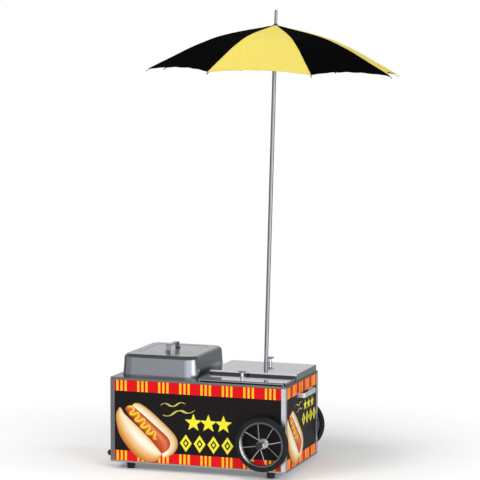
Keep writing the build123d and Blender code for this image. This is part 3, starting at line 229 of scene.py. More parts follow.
def plastic(name, colour, rough, spread, grain_bump, grain_scale, wear, specular):
    """Moulded plastic, rubber or paint: fine texture in the bump, lighter specks of wear."""
    mat = Material(name)
    fine = mat.noise(scale=grain_scale)
    patches = mat.noise(scale=14.0, detail=4.0, distortion=0.3, shift=(2.0, 5.0, 1.0))
    specks = mat.noise(scale=160.0, detail=2.0, rough=0.7, shift=(9.0, 2.0, 4.0))
    base = mat.mix(mat.remap(patches, span=(0.35, 0.7), to=(0.0, 0.45)),
                   tone(colour), tone(colour, gain=0.82))
    base = mat.mix(mat.remap(specks, span=(0.62, 0.8), to=(0.0, 0.24)),
                   base, tone(colour, lift=wear * 0.12))
    varied = mat.remap(patches, span=(0.3, 0.7), to=(-spread, spread))
    mat.surface({
        "Roughness": mat.math("ADD", rough, varied, clamped=True),
        "Base Color": base,
        "Specular IOR Level": specular,
        "Normal": mat.bump(fine, strength=grain_bump, distance=0.0003, bevel=0.0006),
    })
    return mat


# name, colour, roughness range, grain frequency along x y z, grain bump, tint, smudge
METALS = [
    # painted shade: the deck's steel is darker than the lids', standing in for the dark it mirrors
    ("deck_steel", (0.275, 0.283, 0.295), (0.16, 0.28), (3, 240, 240), 0.04, 0.05, 0.06),
    ("lid_steel", (0.64, 0.65, 0.685), (0.035, 0.085), (3, 260, 260), 0.012, 0.03, 0.02),
    ("dome_steel", (0.42, 0.435, 0.47), (0.15, 0.25), (3, 200, 200), 0.03, 0.05, 0.04),
    ("pan_steel", (0.55, 0.55, 0.56), (0.22, 0.38), (200, 200, 4), 0.05, 0.05, 0.06),
    ("trim_aluminium", (0.62, 0.63, 0.65), (0.24, 0.36), (260, 260, 4), 0.06, 0.05, 0.06),
    ("base_steel", (0.55, 0.55, 0.56), (0.28, 0.42), (4, 220, 220), 0.06, 0.05, 0.06),
    ("chrome", (0.44, 0.44, 0.455), (0.05, 0.12), (40, 40, 40), 0.01, 0.02, 0.06),
    # painted shade: the pole's steel is darkened for the shade under the canopy
    ("pole_steel", (0.34, 0.34, 0.36), (0.12, 0.22), (300, 300, 3), 0.03, 0.05, 0.06),
    ("knob_steel", (0.80, 0.80, 0.80), (0.08, 0.15), (60, 60, 300), 0.03, 0.05, 0.06),
    ("strap_steel", (0.50, 0.50, 0.52), (0.16, 0.28), (300, 5, 300), 0.05, 0.05, 0.06),
    ("zinc_steel", (0.55, 0.55, 0.53), (0.30, 0.45), (120, 120, 120), 0.06, 0.08, 0.06),
    ("rib_wire", (0.50, 0.50, 0.51), (0.25, 0.38), (60, 60, 60), 0.03, 0.06, 0.06),
    ("brass", (0.60, 0.42, 0.16), (0.25, 0.40), (60, 60, 60), 0.05, 0.10, 0.06),
    ("heater_sheath", (0.20, 0.17, 0.15), (0.35, 0.55), (80, 80, 80), 0.08, 0.25, 0.06),
    ("rear_lid_steel", (0.56, 0.57, 0.60), (0.035, 0.085), (3, 260, 260), 0.012, 0.03, 0.02),
]
# name, colour, roughness, its spread, grain bump, grain scale, wear, specular level
PLASTICS = [
    ("powder_coat", (0.020, 0.018, 0.019), 0.42, 0.06, 0.25, 1500.0, 0.10, 0.45),
    ("rubber", (0.018, 0.018, 0.019), 0.72, 0.10, 0.20, 900.0, 0.2, 0.3),
    ("black_plastic", (0.020, 0.020, 0.021), 0.42, 0.08, 0.12, 1100.0, 0.2, 0.45),
    ("cord_rubber", (0.014, 0.014, 0.015), 0.62, 0.10, 0.15, 700.0, 0.15, 0.3),
    ("switch_red", (0.45, 0.012, 0.010), 0.25, 0.05, 0.03, 900.0, 0.1, 0.45),
    ("lamp_amber", (0.85, 0.26, 0.02), 0.15, 0.04, 0.02, 900.0, 0.1, 0.45),
    ("umbrella_plastic", (0.024, 0.024, 0.026), 0.38, 0.08, 0.08, 1000.0, 0.2, 0.45),
]


def tyre_rubber():
    """Black tyre rubber: dull, with slightly greyer patches."""
    mat = Material("tyre_rubber")
    fine = mat.noise(scale=700.0)
    patches = mat.noise(scale=22.0, detail=4.0, distortion=0.5)
    black, grey = (0.008, 0.0085, 0.009, 1), (0.018, 0.0185, 0.019, 1)
    mat.surface({
        "Base Color": mat.mix(mat.remap(patches, span=(0.3, 0.7), to=(0.0, 1.0)), black, grey),
        "Roughness": mat.remap(patches, span=(0.3, 0.7), to=(0.50, 0.74)),
        "Specular IOR Level": 0.22,
        "Normal": mat.bump(fine, strength=0.15, distance=0.0003),
    })
    return mat


def wheel_chrome():
    """Plated wheel: darker rolled rim with a painted highlight at its lower left, bright spokes and
    hub.
    """
    mat = Material("wheel_chrome")
    axes = mat.axes()
    from_hub_x = mat.math("SUBTRACT", axes["X"], WHEEL_X)
    from_hub_z = mat.math("SUBTRACT", axes["Z"], WHEEL_Z)
    radius = mat.math("SQRT", mat.math("ADD", mat.math("MULTIPLY", from_hub_x, from_hub_x),
                                       mat.math("MULTIPLY", from_hub_z, from_hub_z)))
    blots = mat.noise(scale=60.0, detail=4.0, distortion=0.4)
    fine = mat.noise(scale=320.0, shift=(3, 1, 2))
    rim = mat.remap(radius, span=(0.084, 0.087), to=(0.0, 1.0))
    # distance from the hub towards the lower left, where a highlight is painted on the rim
    lit = mat.math("ADD", mat.math("MULTIPLY", from_hub_x, -0.93),
                   mat.math("MULTIPLY", from_hub_z, -0.36))
    lit = mat.remap(lit, span=(0.070, 0.090), to=(0.0, 1.0))

    # the pale rim colour is a painted highlight, used at the rim's lower left
    rim_dark, rim_painted_highlight = (0.15, 0.155, 0.17, 1), (0.92, 0.92, 0.94, 1)
    spokes, dust = (0.50, 0.50, 0.52, 1), (0.22, 0.21, 0.20, 1)
    base = mat.mix(rim, spokes, mat.mix(lit, rim_dark, rim_painted_highlight))
    base = mat.mix(mat.remap(blots, span=(0.45, 0.75), to=(0.0, 0.30)), base, dust)
    lit_rim = mat.math("MULTIPLY", rim, lit)
    mat.surface({
        "Base Color": base,
        # the rim's painted highlight is less metallic, so its pale painted colour shows
        "Metallic": mat.math("SUBTRACT", mat.remap(rim, span=(0.0, 1.0), to=(0.80, 1.0)),
                             mat.math("MULTIPLY", lit_rim, 0.7)),
        "Roughness": mat.math("ADD", mat.remap(blots, span=(0.35, 0.7), to=(0.10, 0.20)),
                              mat.remap(fine, span=(0.4, 0.7), to=(0.0, 0.06))),
        "Normal": mat.bump(fine, strength=0.02, distance=0.0003, bevel=0.0004),
    })
    return mat


def handle_aluminium():
    """Satin aluminium with a fine linear grain and a shinier middle of the grip."""
    mat = Material("handle_aluminium")
    lines = mat.noise(rough=0.65, stretch=(240, 5, 240))
    blots = mat.noise(scale=30.0, detail=4.0, shift=(2, 3, 1))
    grip_y = 0.024
    from_middle = mat.math("ABSOLUTE", mat.math("SUBTRACT", mat.axes()["Y"], grip_y))
    grip = mat.remap(from_middle, span=(0.02, 0.07), to=(1.0, 0.0))
    smudged = (0.58, 0.60, 0.64, 1)
    base = mat.ramp(lines, low=(0.66, 0.68, 0.72, 1), high=(0.78, 0.80, 0.84, 1))
    mat.surface({
        "Base Color": mat.mix(mat.remap(blots, span=(0.5, 0.75), to=(0.0, 0.4)), base, smudged),
        "Metallic": 0.42,
        "Roughness": mat.math("SUBTRACT", mat.remap(blots, span=(0.3, 0.7), to=(0.34, 0.46)),
                              mat.math("MULTIPLY", grip, 0.10)),
        "Normal": mat.bump(lines, strength=0.05, distance=0.0003, bevel=0.0006),
    })
    return mat


def mark_rear_lid(mat):
    """Painted light: a highlight along the lid's front edge and painted shade on the wall below it.
    """
    axes = mat.axes()
    front = mat.remap(axes["Y"], span=(-0.0672, -0.0682), to=(0.0, 1.0))
    low = mat.remap(axes["Z"], span=(0.3815, 0.3800), to=(0.0, 1.0))
    high = mat.remap(axes["Z"], span=(0.3805, 0.3820), to=(0.0, 1.0))
    wall = mat.math("MULTIPLY", front, low)
    edge = mat.math("MULTIPLY", front, high)
    # painted shade for the wall below the edge, painted highlight for the edge
    wall_painted_shade, edge_painted_highlight = (0.10, 0.10, 0.11, 1), (0.88, 0.89, 0.92, 1)
    mat.surface({
        "Base Color": mat.mix(edge, mat.mix(wall, mat.base_colour(), wall_painted_shade), edge_painted_highlight),
        # the painted highlight is less metallic, so the lamps light it too
        "Metallic": mat.remap(edge, span=(0.0, 1.0), to=(1.0, 0.25)),
    })


def paint_trim_light_and_shade(mat):
    """Painted light and shade: the corner posts are darker at the left end and brighter at the
    right.
    """
    gain = mat.remap(mat.axes()["X"], span=(-0.38, 0.38), to=(0.42, 1.45))
    scaled = mat.node("VectorMath", {0: mat.base_colour(), "Scale": gain}, operation="SCALE")
    mat.surface({"Base Color": scaled.outputs[0]})


MATERIALS = {row[0]: metal(*row) for row in METALS}
MATERIALS.update({row[0]: plastic(*row) for row in PLASTICS})
MATERIALS.update(tyre_rubber=tyre_rubber(), wheel_chrome=wheel_chrome(),
                 handle_aluminium=handle_aluminium())
mark_rear_lid(MATERIALS["rear_lid_steel"])
# painted shade at the left end of the corner posts, painted light at the right
paint_trim_light_and_shade(MATERIALS["trim_aluminium"])

# the CAD pieces that wear each material
PIECES = {
    "base_steel": "base_pan hinge_brackets",
    "trim_aluminium": "corner_posts",
    "powder_coat": "front_panel back_panel left_panel right_panel",
    "deck_steel": "deck",
    "pan_steel": "water_pan hot_dog_pan bun_pan",
    "heater_sheath": "heating_element",
    "brass": "drain_valve",
    "pole_steel": "umbrella_socket pole_lower pole_upper ferrule",
    "black_plastic": "thermostat power_switch drain_knob thermostat_knob front_hub_cap "
                     "rear_hub_cap canopy",
    "lamp_amber": "pilot_lamp",
    "cord_rubber": "power_cord",
    "rubber": "feet",
    "handle_aluminium": "end_handles",
    "zinc_steel": "screws axle_nuts",
    "chrome": "stub_axles",
    "dome_steel": "dome_lid",
    "strap_steel": "dome_handle",
    "lid_steel": "front_lid",
    "knob_steel": "front_lid_knob rear_lid_knob",
    "rear_lid_steel": "rear_lid",
    "switch_red": "power_rocker",
    "wheel_chrome": "front_wheel rear_wheel",
    "tyre_rubber": "front_tyre rear_tyre",
    "umbrella_plastic": "crown runner",
    "rib_wire": " ".join(f"rib_{n} stretcher_{n}" for n in range(1, 9)),
}
material_of = {piece: name for name, pieces in PIECES.items() for piece in pieces.split()}
for piece_name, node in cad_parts.items():
    node.data.materials.clear()
    node.data.materials.append(MATERIALS[material_of[piece_name]].data)


# ---------------------------------------------------------------------------
# mesh helpers
# ---------------------------------------------------------------------------
def add_object(name, data):
    made = bpy.data.objects.new(name, data)
    scene.collection.objects.link(made)
    return made


def mesh_object(name, points, faces, materials, face_slots=None, smooth=False):
    mesh = bpy.data.meshes.new(name)
    mesh.from_pydata([tuple(point) for point in points], [], faces)
    for mat in materials:
        mesh.materials.append(mat.data)
    if face_slots is not None:
        mesh.polygons.foreach_set("material_index", np.array(face_slots, np.int32))
    mesh.polygons.foreach_set("use_smooth", np.full(len(mesh.polygons), smooth))
    mesh.validate()
    mesh.update()
    return add_object(name, mesh)


def turn_faces_outward(mesh):
    work = bmesh.new()
    work.from_mesh(mesh)
    bmesh.ops.recalc_face_normals(work, faces=work.faces)
    work.to_mesh(mesh)
    work.free()


# ---------------------------------------------------------------------------
# printed panels, drawn in millimetres: x to the right, y up, height out of the panel
# ---------------------------------------------------------------------------
PRINT_GAP = 0.02            # between the panel and the film
FILM_THICKNESS = 0.18
LAYER = 0.1                 # thickness of one printed shape
ORNAMENT_HEIGHT = 0.2       # where stars, diamonds and flourishes start
HOT_DOG_HEIGHT = 0.5
FILM_BOTTOM, FILM_TOP = 6.3, 350.6


def film(name, colour=None):
    """Printed film under a clear laminate; without a colour it shows the "print" attribute."""
    mat = Material(name)
    mottle = mat.noise(scale=420.0)
    patches = mat.noise(scale=11.0, detail=4.0, distortion=0.4, shift=(4, 2, 7))
    scuffs = mat.noise(rough=0.7, stretch=(30, 30, 260), turn=(0.4, 0.2, 0.3))
    if colour is None:
        base = mat.node("VertexColor", layer_name="print").outputs["Color"]
    else:
        base = mat.node("RGB").outputs[0]
        base.default_value = colour
    dark = mat.mix(1.0, base, (0.86, 0.86, 0.86, 1.0), "MULTIPLY")
    roughness = mat.remap(patches, span=(0.3, 0.7), to=(0.23, 0.36))
    scuffed = mat.remap(scuffs, span=(0.66, 0.8), to=(0.0, 0.18))
    mat.surface({
        "Base Color": mat.mix(mat.remap(mottle, span=(0.4, 0.65), to=(0.0, 0.5)), base, dark),
        "Roughness": mat.math("ADD", roughness, scuffed, clamped=True),
        "Specular IOR Level": 0.09,
        "Normal": mat.bump(mottle, strength=0.04, distance=0.0002),
    })
    return mat


FILMS = [
    film("film_black", srgb(30, 26, 27)),
    film("film_red", srgb(232, 22, 30)),
    film("film_yellow", srgb(255, 205, 45)),
    film("film_ink", srgb(250, 240, 60)),
    film("film_art"),
    film("film_flourish", srgb(205, 200, 105)),
]
BLACK, RED, YELLOW, INK, ART, FLOURISH = range(6)


class Sheet:
    """Collects thin printed shapes on one flat panel, as closed slabs."""

    def __init__(self, to_world):
        self.to_world = to_world
        self.points, self.colours, self.faces, self.slots = [], [], [], []

    def add_point(self, x, y, height, colour):
        self.points.append(self.to_world(x, y, height))
        self.colours.append(colour)

    def add_face(self, face, slot):
        self.faces.append(face)
        self.slots.append(slot)

    def slab(self, outline, low, high, slot):
        """A flat shape; the outline runs counter-clockwise seen from outside."""
        base, count = len(self.points), len(outline)
        for height in (low, high):
            for x, y in outline:
                self.add_point(x, y, height, (1, 1, 1))
        self.add_face([base + count + i for i in range(count)], slot)
        self.add_face([base + count - 1 - i for i in range(count)], slot)
        for i in range(count):
            j = (i + 1) % count
            self.add_face([base + i, base + j, base + count + j, base + count + i], slot)

    def box(self, x_span, y_span, low, high, slot):
        (x_0, x_1), (y_0, y_1) = x_span, y_span
        self.slab([(x_0, y_0), (x_1, y_0), (x_1, y_1), (x_0, y_1)], low, high, slot)

    def strip(self, edge_a, edge_b, low, slot, shade, across, thickness=LAYER):
        """A slab between two edges of equal count, coloured by shade(share along, share across)."""
        rows, columns = len(edge_a), across + 1
        base = len(self.points)
        for height in (low + thickness, low):
            for i in range(rows):
                for j in range(columns):
                    share = j / across
                    x = edge_a[i][0] * (1 - share) + edge_b[i][0] * share
                    y = edge_a[i][1] * (1 - share) + edge_b[i][1] * share
                    self.add_point(x, y, height, shade(i / (rows - 1), share))

        def top(i, j):
            return base + i * columns + j

        def bottom(i, j):
            return base + (rows + i) * columns + j

        for i in range(rows - 1):
            for j in range(across):
                self.add_face([top(i, j), top(i, j + 1), top(i + 1, j + 1), top(i + 1, j)], slot)
                self.add_face([bottom(i, j), bottom(i + 1, j), bottom(i + 1, j + 1),
                               bottom(i, j + 1)], slot)
        rim = [(i, 0) for i in range(rows)]
        rim += [(rows - 1, j) for j in range(1, columns)]
        rim += [(i, across) for i in range(rows - 2, -1, -1)]
        rim += [(0, j) for j in range(columns - 2, 0, -1)]
        for a, b in zip(rim, rim[1:] + rim[:1]):
            self.add_face([top(*a), top(*b), bottom(*b), bottom(*a)], slot)

    def build(self, name):
        made = mesh_object(name, self.points, self.faces, FILMS, self.slots)
        attribute = made.data.color_attributes.new("print", "FLOAT_COLOR", "POINT")
        rgba = np.ones((len(self.points), 4), np.float32)
        rgba[:, :3] = np.array(self.colours, np.float32)
        attribute.data.foreach_set("color", rgba.ravel())
        turn_faces_outward(made.data)
        return made


def smooth_edge(stations, count=44):
    """Evenly spaced points along a Catmull-Rom curve through the stations."""
    stations = np.array(stations, float)
    padded = np.vstack([2 * stations[0] - stations[1], stations,
                        2 * stations[-1] - stations[-2]])
    curve = []
    for i in range(1, len(padded) - 2):
        p0, p1, p2, p3 = padded[i - 1:i + 3]
        for t in np.linspace(0, 1, 14, endpoint=False):
            curve.append(0.5 * ((2 * p1) + (-p0 + p2) * t + (2 * p0 - 5 * p1 + 4 * p2 - p3) * t * t
                                + (-p0 + 3 * p1 - 3 * p2 + p3) * t ** 3))
    curve.append(stations[-1])
    curve = np.array(curve)
    steps = np.linalg.norm(np.diff(curve, axis=0), axis=1)
    length = np.concatenate([[0], np.cumsum(steps)])
    stops = np.linspace(0, length[-1], count)
    return np.column_stack([np.interp(stops, length, curve[:, i]) for i in (0, 1)])


# shading of the drawing: how strongly a tint shows at a share along or across a shape
def rise(value, start, over):
    return max(0.0, (value - start) / over)


def near_start(value, reach):
    return max(0.0, 1 - value / reach)


def bell(value, centre, width):
    return math.exp(-((value - centre) / width) ** 2)


def bun_front_shade(along, across):
    """Cream to gold to brown across the bun, browner at both starts, with a soft highlight."""
    colour = blend(srgb(250, 232, 190), srgb(236, 178, 98), rise(across, start=0.34, over=0.42))
    colour = blend(colour, srgb(184, 104, 40), rise(across, start=0.74, over=0.26)
                   * (0.45 + 0.55 * math.sin(math.pi * along)))
    colour = blend(colour, srgb(206, 146, 80), near_start(across, reach=0.12) * 0.8)
    colour = blend(colour, srgb(214, 150, 84), near_start(along, reach=0.12) * 0.55)
    highlight = bell(across, centre=0.34, width=0.17) * bell(along, centre=0.62, width=0.30) * 0.95
    return blend(colour, srgb(255, 252, 240), highlight)


def bun_back_shade(along, across):
    """Cream to gold to brown across the bun, with a darker inner edge."""
    colour = blend(srgb(255, 248, 226), srgb(236, 200, 140), rise(across, start=0.50, over=0.36))
    colour = blend(colour, srgb(190, 130, 66), rise(across, start=0.84, over=0.16) * 0.9)
    return blend(colour, srgb(176, 120, 70), near_start(across, reach=0.18) * 0.9)


def sausage_shade(along, across):
    """Dark edges, a redder far end and a highlight line."""
    colour = blend(srgb(226, 112, 62), srgb(166, 58, 28), abs(across - 0.42) / 0.5)
    colour = blend(colour, srgb(120, 38, 18), rise(across, start=0.80, over=0.25))
    colour = blend(colour, srgb(205, 70, 44), rise(along, start=0.6, over=0.4) * 0.55)
    highlight = bell(across, centre=0.30, width=0.10) * 0.45 * math.sin(math.pi * along)
    return blend(colour, srgb(255, 190, 150), highlight)


def mustard_shade(along, across):
    """Yellow with darker edges and a highlight line."""
    colour = blend(srgb(255, 205, 30), srgb(226, 140, 14), abs(across - 0.45) / 0.5)
    return blend(colour, srgb(255, 238, 130), bell(across, centre=0.35, width=0.13) * 0.8)


def mustard_rim_shade(along, across):
    return srgb(190, 96, 14)[:3]


# edges of the hot dog, stations (x, y)
BUN_BACK_INNER = [(-296, 236), (-262, 200), (-214, 150), (-178, 98), (-160, 62), (-154, 36)]
BUN_BACK_OUTER = [
    (-292, 242), (-277, 255), (-250, 252), (-208, 226), (-160, 187), (-118, 150),
    (-92, 120), (-85, 88), (-99, 56), (-128, 36), (-152, 30)]
SAUSAGE_UPPER = [
    (-319, 232), (-310, 242), (-291, 242), (-252, 216), (-207, 181), (-163, 146),
    (-131, 118), (-119, 96), (-124, 72), (-142, 54)]
SAUSAGE_LOWER = [
    (-322, 226), (-309, 205), (-274, 168), (-232, 124), (-193, 80), (-172, 56), (-150, 50)]
BUN_FRONT_UPPER = [
    (-345, 234), (-337, 226), (-324, 207), (-297, 184), (-258, 150), (-214, 110),
    (-176, 70), (-158, 46)]
BUN_FRONT_LOWER = [
    (-347, 232), (-361, 207), (-361, 170), (-347, 118), (-316, 72), (-279, 34),
    (-233, 11), (-193, 10), (-168, 26), (-157, 43)]
# middle line of the mustard, winding along the sausage
MUSTARD_LINE = [
    (-310, 236), (-292, 238), (-284, 226), (-297, 210), (-283, 206), (-264, 212), (-262, 198),
    (-274, 184), (-258, 179), (-238, 187), (-238, 172), (-249, 158), (-234, 153), (-213, 161),
    (-214, 145), (-222, 133), (-206, 128), (-189, 138), (-188, 122), (-192, 110), (-180, 107)]
MUSTARD_POINTS = 170
MUSTARD_HALF_WIDTHS = (8.6, 7.2)    # dark rim below, yellow bead above


def mustard(sheet, placed, low):
    bead = smooth_edge(MUSTARD_LINE, MUSTARD_POINTS)
    first = np.gradient(bead, axis=0)
    second = np.gradient(first, axis=0)
    speed = np.linalg.norm(first, axis=1)
    bend = (first[:, 0] * second[:, 1] - first[:, 1] * second[:, 0]) / speed ** 3
    sideways = np.column_stack([-first[:, 1], first[:, 0]]) / speed[:, None]
    index = np.arange(MUSTARD_POINTS)
    from_end = np.minimum(index, MUSTARD_POINTS - 1 - index) / MUSTARD_POINTS
    taper = np.minimum(1.0, 0.45 + 7.0 * from_end)
    # the inside of a turn is kept clear of its centre, so the bead never folds over itself
    room = 0.82 / np.maximum(np.abs(bend), 1e-6)
    room = np.array([room[max(0, i - 2):i + 3].min() for i in index])

    def softened(widths):
        return np.convolve(np.pad(widths, 2, mode="edge"), np.ones(5) / 5, mode="valid")[:, None]

    thickness = LAYER / 2
    for layer, shade in enumerate((mustard_rim_shade, mustard_shade)):
        wide = MUSTARD_HALF_WIDTHS[layer] * taper * (1.0 + 0.07 * np.sin(index * 0.5))
        narrow = np.minimum(wide, room)
        left = softened(np.where(bend > 0, narrow, wide))
        right = softened(np.where(bend < 0, narrow, wide))
        sheet.strip(placed(bead + sideways * left), placed(bead - sideways * right),
                    low + layer * thickness, ART, shade, across=6, thickness=thickness)


def hot_dog(sheet, place):
    """Back bun, sausage, mustard and front bun, stacked. place maps the drawing to the panel."""
    def placed(points):
        return [place(*point) for point in points]

    def part(edge_a, edge_b, layer, shade, across):
        sheet.strip(placed(smooth_edge(edge_a)), placed(smooth_edge(edge_b)),
                    HOT_DOG_HEIGHT + layer * LAYER, ART, shade, across)

    part(BUN_BACK_INNER, BUN_BACK_OUTER, 0, bun_back_shade, across=12)
    part(SAUSAGE_UPPER, SAUSAGE_LOWER, 1, sausage_shade, across=12)
    mustard(sheet, placed, HOT_DOG_HEIGHT + 2 * LAYER)
    part(BUN_FRONT_UPPER, BUN_FRONT_LOWER, 3, bun_front_shade, across=18)


def star(centre_x, centre_y, radius):
    """Five-pointed star standing on two points."""
    outline = []
    for i in range(10):
        reach = radius if i % 2 == 0 else radius * 0.42
        angle = math.pi / 2 + math.pi * i / 5
        outline.append((centre_x + reach * math.cos(angle), centre_y + reach * math.sin(angle)))
    return outline


def diamond(x, y, half_width, half_height):
    return [(x + half_width, y), (x, y + half_height), (x - half_width, y), (x, y - half_height)]


def star_row(sheet, x_start, x_end, y, radius):
    for i in range(3):
        x = x_start + (x_end - x_start) * (i + 0.5) / 3
        sheet.slab(star(x, y, radius), ORNAMENT_HEIGHT, ORNAMENT_HEIGHT + LAYER, INK)


def diamond_row(sheet, x_start, x_end, y, half_height):
    """Four diamonds, each of three nested ones."""
    half_width = (x_end - x_start) / 8 * 0.86
    for i in range(4):
        x = x_start + (x_end - x_start) * (i + 0.5) / 4
        for layer, (size, slot) in enumerate(((1.0, INK), (0.52, BLACK), (0.26, INK))):
            low = ORNAMENT_HEIGHT + layer * LAYER
            sheet.slab(diamond(x, y, half_width * size, half_height * size),
                       low, low + LAYER, slot)


def flourish(sheet, x_start, y_start, length, slope, wave, thick):
    """A tapered wavy stroke."""
    upper, lower = [], []
    count = 60
    for i in range(count):
        share = i / (count - 1)
        x = x_start + length * share
        y = y_start + slope * length * share + wave * math.sin(share * math.pi * 3)
        half = thick * (0.18 + 0.82 * math.sin(math.pi * share) ** 0.8) \
            * (0.7 + 0.3 * math.cos(share * math.pi * 6))
        upper.append((x, y + half))
        lower.append((x, y - half))
    sheet.strip(upper, lower, ORNAMENT_HEIGHT, FLOURISH, lambda along, across: (1, 1, 1), across=2)


BANDS = [(303, 350), (6.5, 50)]     # y spans of the top and bottom bands
STRIPE_PITCH, STRIPE_WIDTH = 18.5, 9.5
BAND_EDGE = 0.3                     # red left above and below a stripe


def bands(sheet, half_length, group_pitch, first_group):
    """Red bands along the top and bottom with groups of three yellow stripes."""
    low = FILM_THICKNESS
    for y_low, y_high in BANDS:
        sheet.box((-half_length, half_length), (y_low, y_high), low, low + LAYER, RED)
        group = first_group
        while group < half_length:
            for i in range(3):
                start = group + STRIPE_PITCH * i
                end = min(start + STRIPE_WIDTH, half_length - 0.5)
                start = max(start, -half_length + 0.5)
                if end - start > 1.5:
                    sheet.box((start, end), (y_low + BAND_EDGE, y_high - BAND_EDGE),
                              low + LAYER, low + 2 * LAYER, YELLOW)
            group += group_pitch


def start_print(to_world, half_length, group_pitch, first_group):
    """A sheet with its black ground and its bands."""
    sheet = Sheet(to_world)
    sheet.box((-half_length, half_length), (FILM_BOTTOM, FILM_TOP), 0.0, FILM_THICKNESS, BLACK)
    bands(sheet, half_length, group_pitch, first_group)
    return sheet


def front_print():
    def to_world(x, y, height):
        return x / 1000, -PANEL_Y - (height + PRINT_GAP) / 1000, y / 1000

    sheet = start_print(to_world, half_length=384, group_pitch=94.0, first_group=-360.5)
    hot_dog(sheet, lambda x, y: (x, y))
    star_row(sheet, x_start=-49, x_end=150, y=186, radius=39)
    diamond_row(sheet, x_start=-80, x_end=165, y=98, half_height=37)
    flourish(sheet, x_start=-163, y_start=252, length=112, slope=0.10, wave=7, thick=4.6)
    flourish(sheet, x_start=-152, y_start=212, length=142, slope=0.19, wave=-8, thick=5.2)
    return sheet.build("front_print")


def end_print(name, side):
    """The print of the right end (side 1) or the left end (side -1)."""
    def to_world(x, y, height):
        return side * (PANEL_X + (height + PRINT_GAP) / 1000), side * x / 1000, y / 1000

    def place(x, y):
        """Shrinks the hot dog about its lower left corner and moves it to the end panel."""
        return -208 + (x + 361) * 0.84, 9 + (y - 9) * 0.95

    sheet = start_print(to_world, half_length=222, group_pitch=88.0, first_group=-211.0)
    hot_dog(sheet, place)
    star_row(sheet, x_start=24, x_end=172, y=240, radius=25)
    diamond_row(sheet, x_start=2, x_end=202, y=184, half_height=28)
    flourish(sheet, x_start=-88, y_start=256, length=92, slope=0.06, wave=5, thick=3.4)
    flourish(sheet, x_start=-74, y_start=232, length=90, slope=0.06, wave=-5, thick=3.4)
    return sheet.build(name)


for panel in (front_print(), end_print("right_print", 1), end_print("left_print", -1)):
    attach(panel, "cabinet")

# ---------------------------------------------------------------------------
# canopy: eight pieces, one centred on each rib, meeting in the middle of the
# gores; each gore is one colour across the join. Umbrella axes start at the crown.
# ---------------------------------------------------------------------------
RIBS = 8
RIB_STEP = 2 * math.pi / RIBS
FIRST_RIB = math.radians(-101.4)
RIM_RADIUS, RIM_DROP = 0.541, 0.192
HOLE_RADIUS = 0.0135            # round the pole
SCALLOP = 0.026                 # how far the hem draws in between ribs
SAG = 0.030
# outer face along a rib: radius, drop below the crown
PROFILE = [
    (0.012, 0.0), (0.060, 0.0095), (0.115, 0.020), (0.175, 0.0325), (0.222, 0.0445),
    (0.261, 0.0565), (0.302, 0.073), (0.351, 0.094), (0.399, 0.118), (0.443, 0.141),
    (0.490, 0.1647), (RIM_RADIUS, RIM_DROP)]
PROFILE_RADII, PROFILE_DROPS = np.array(PROFILE).T
ROWS = 46                       # from the hole to the hem
GORE_COLUMNS = 16               # from the seam to the middle of a gore
SEAM_COLUMNS = [0.0, 0.0012, 0.0024, 0.0030, 0.0042]    # distances from the rib
CLOTH_THICKNESS = 0.0006

# across is the signed distance from the rib, edge the distance to the hem,
# share the place in the gore from its first rib (0) to its next (1)
CanopyPoint = namedtuple("CanopyPoint", "place across radius edge gore share")


def profile_slopes(radii, drops):
    """Slopes that keep the profile free of overshoot; the two ends are set by hand."""
    chords = np.diff(drops) / np.diff(radii)
    before, after = chords[:-1], chords[1:]
    slopes = np.zeros_like(drops)
    slopes[1:-1] = np.where(before * after > 0, 2 * before * after / (before + after + 1e-12), 0)
    # Slopes that keep the profile free of overshoot; the two ends are given.
    slopes[0], slopes[-1] = chords[0] * 0.6, chords[-1] * 1.04
    return slopes


PROFILE_SLOPES = profile_slopes(PROFILE_RADII, PROFILE_DROPS)


def drop(radius):
    """Drop of the outer face along a rib, a cubic Hermite curve through the profile."""
    radius = min(max(radius, PROFILE_RADII[0]), PROFILE_RADII[-1])
    i = min(int(np.searchsorted(PROFILE_RADII, radius, side="right")) - 1, len(PROFILE) - 2)
    span = PROFILE_RADII[i + 1] - PROFILE_RADII[i]
    t = (radius - PROFILE_RADII[i]) / span
    return float((2 * t ** 3 - 3 * t ** 2 + 1) * PROFILE_DROPS[i]
                 + (t ** 3 - 2 * t ** 2 + t) * span * PROFILE_SLOPES[i]
                 + (-2 * t ** 3 + 3 * t ** 2) * PROFILE_DROPS[i + 1]
                 + (t ** 3 - t ** 2) * span * PROFILE_SLOPES[i + 1])


def rib_point(rib, radius):
    angle = FIRST_RIB + rib * RIB_STEP
    return np.array([radius * math.cos(angle), radius * math.sin(angle), -drop(radius)])


def gore_point(gore, radius, share):
    """Outer face between rib number gore (share 0) and the next rib (share 1)."""
    point = (1 - share) * rib_point(gore, radius) + share * rib_point(gore + 1, radius)
    belly = 4 * share * (1 - share)
    pull = SAG * radius * belly * min(1.0, radius / 0.18) * (0.75 + 0.25 * math.cos(radius * 9))
    # the cloth is tighter towards the hem
    pull *= 1.0 - 0.75 * clamp((radius - 0.32) / 0.19) ** 1.5
    # small tension ripples running out from the ribs towards the rim
    outward = max(0.0, (radius - 0.30) / 0.24)
    ripple = 0.0012 * outward * math.sin(share * math.pi * 10 + gore * 1.7) * belly
    middle = FIRST_RIB + (gore + 0.5) * RIB_STEP
    point[2] -= pull * 0.55 + ripple
    point[0] -= pull * 0.30 * math.cos(middle)
    point[1] -= pull * 0.30 * math.sin(middle)
    return point


def outer_normal(gore, radius, share):
    """Normal by finite differences, so neighbouring pieces agree along their join."""
    step, share_step = 0.002, 0.004
    outward = (gore_point(gore, radius + step, share)
               - gore_point(gore, max(radius - step, PROFILE_RADII[0]), share))
    if share == 0:
        # on the rib itself the difference spans both gores
        around = (gore_point(gore, radius, share_step)
                  - gore_point(gore - 1, radius, 1 - share_step))
    else:
        around = (gore_point(gore, radius, min(1, share + share_step))
                  - gore_point(gore, radius, max(0, share - share_step)))
    normal = np.cross(outward, around)
    normal /= np.linalg.norm(normal) + 1e-12
    return normal if normal[2] > 0 else -normal


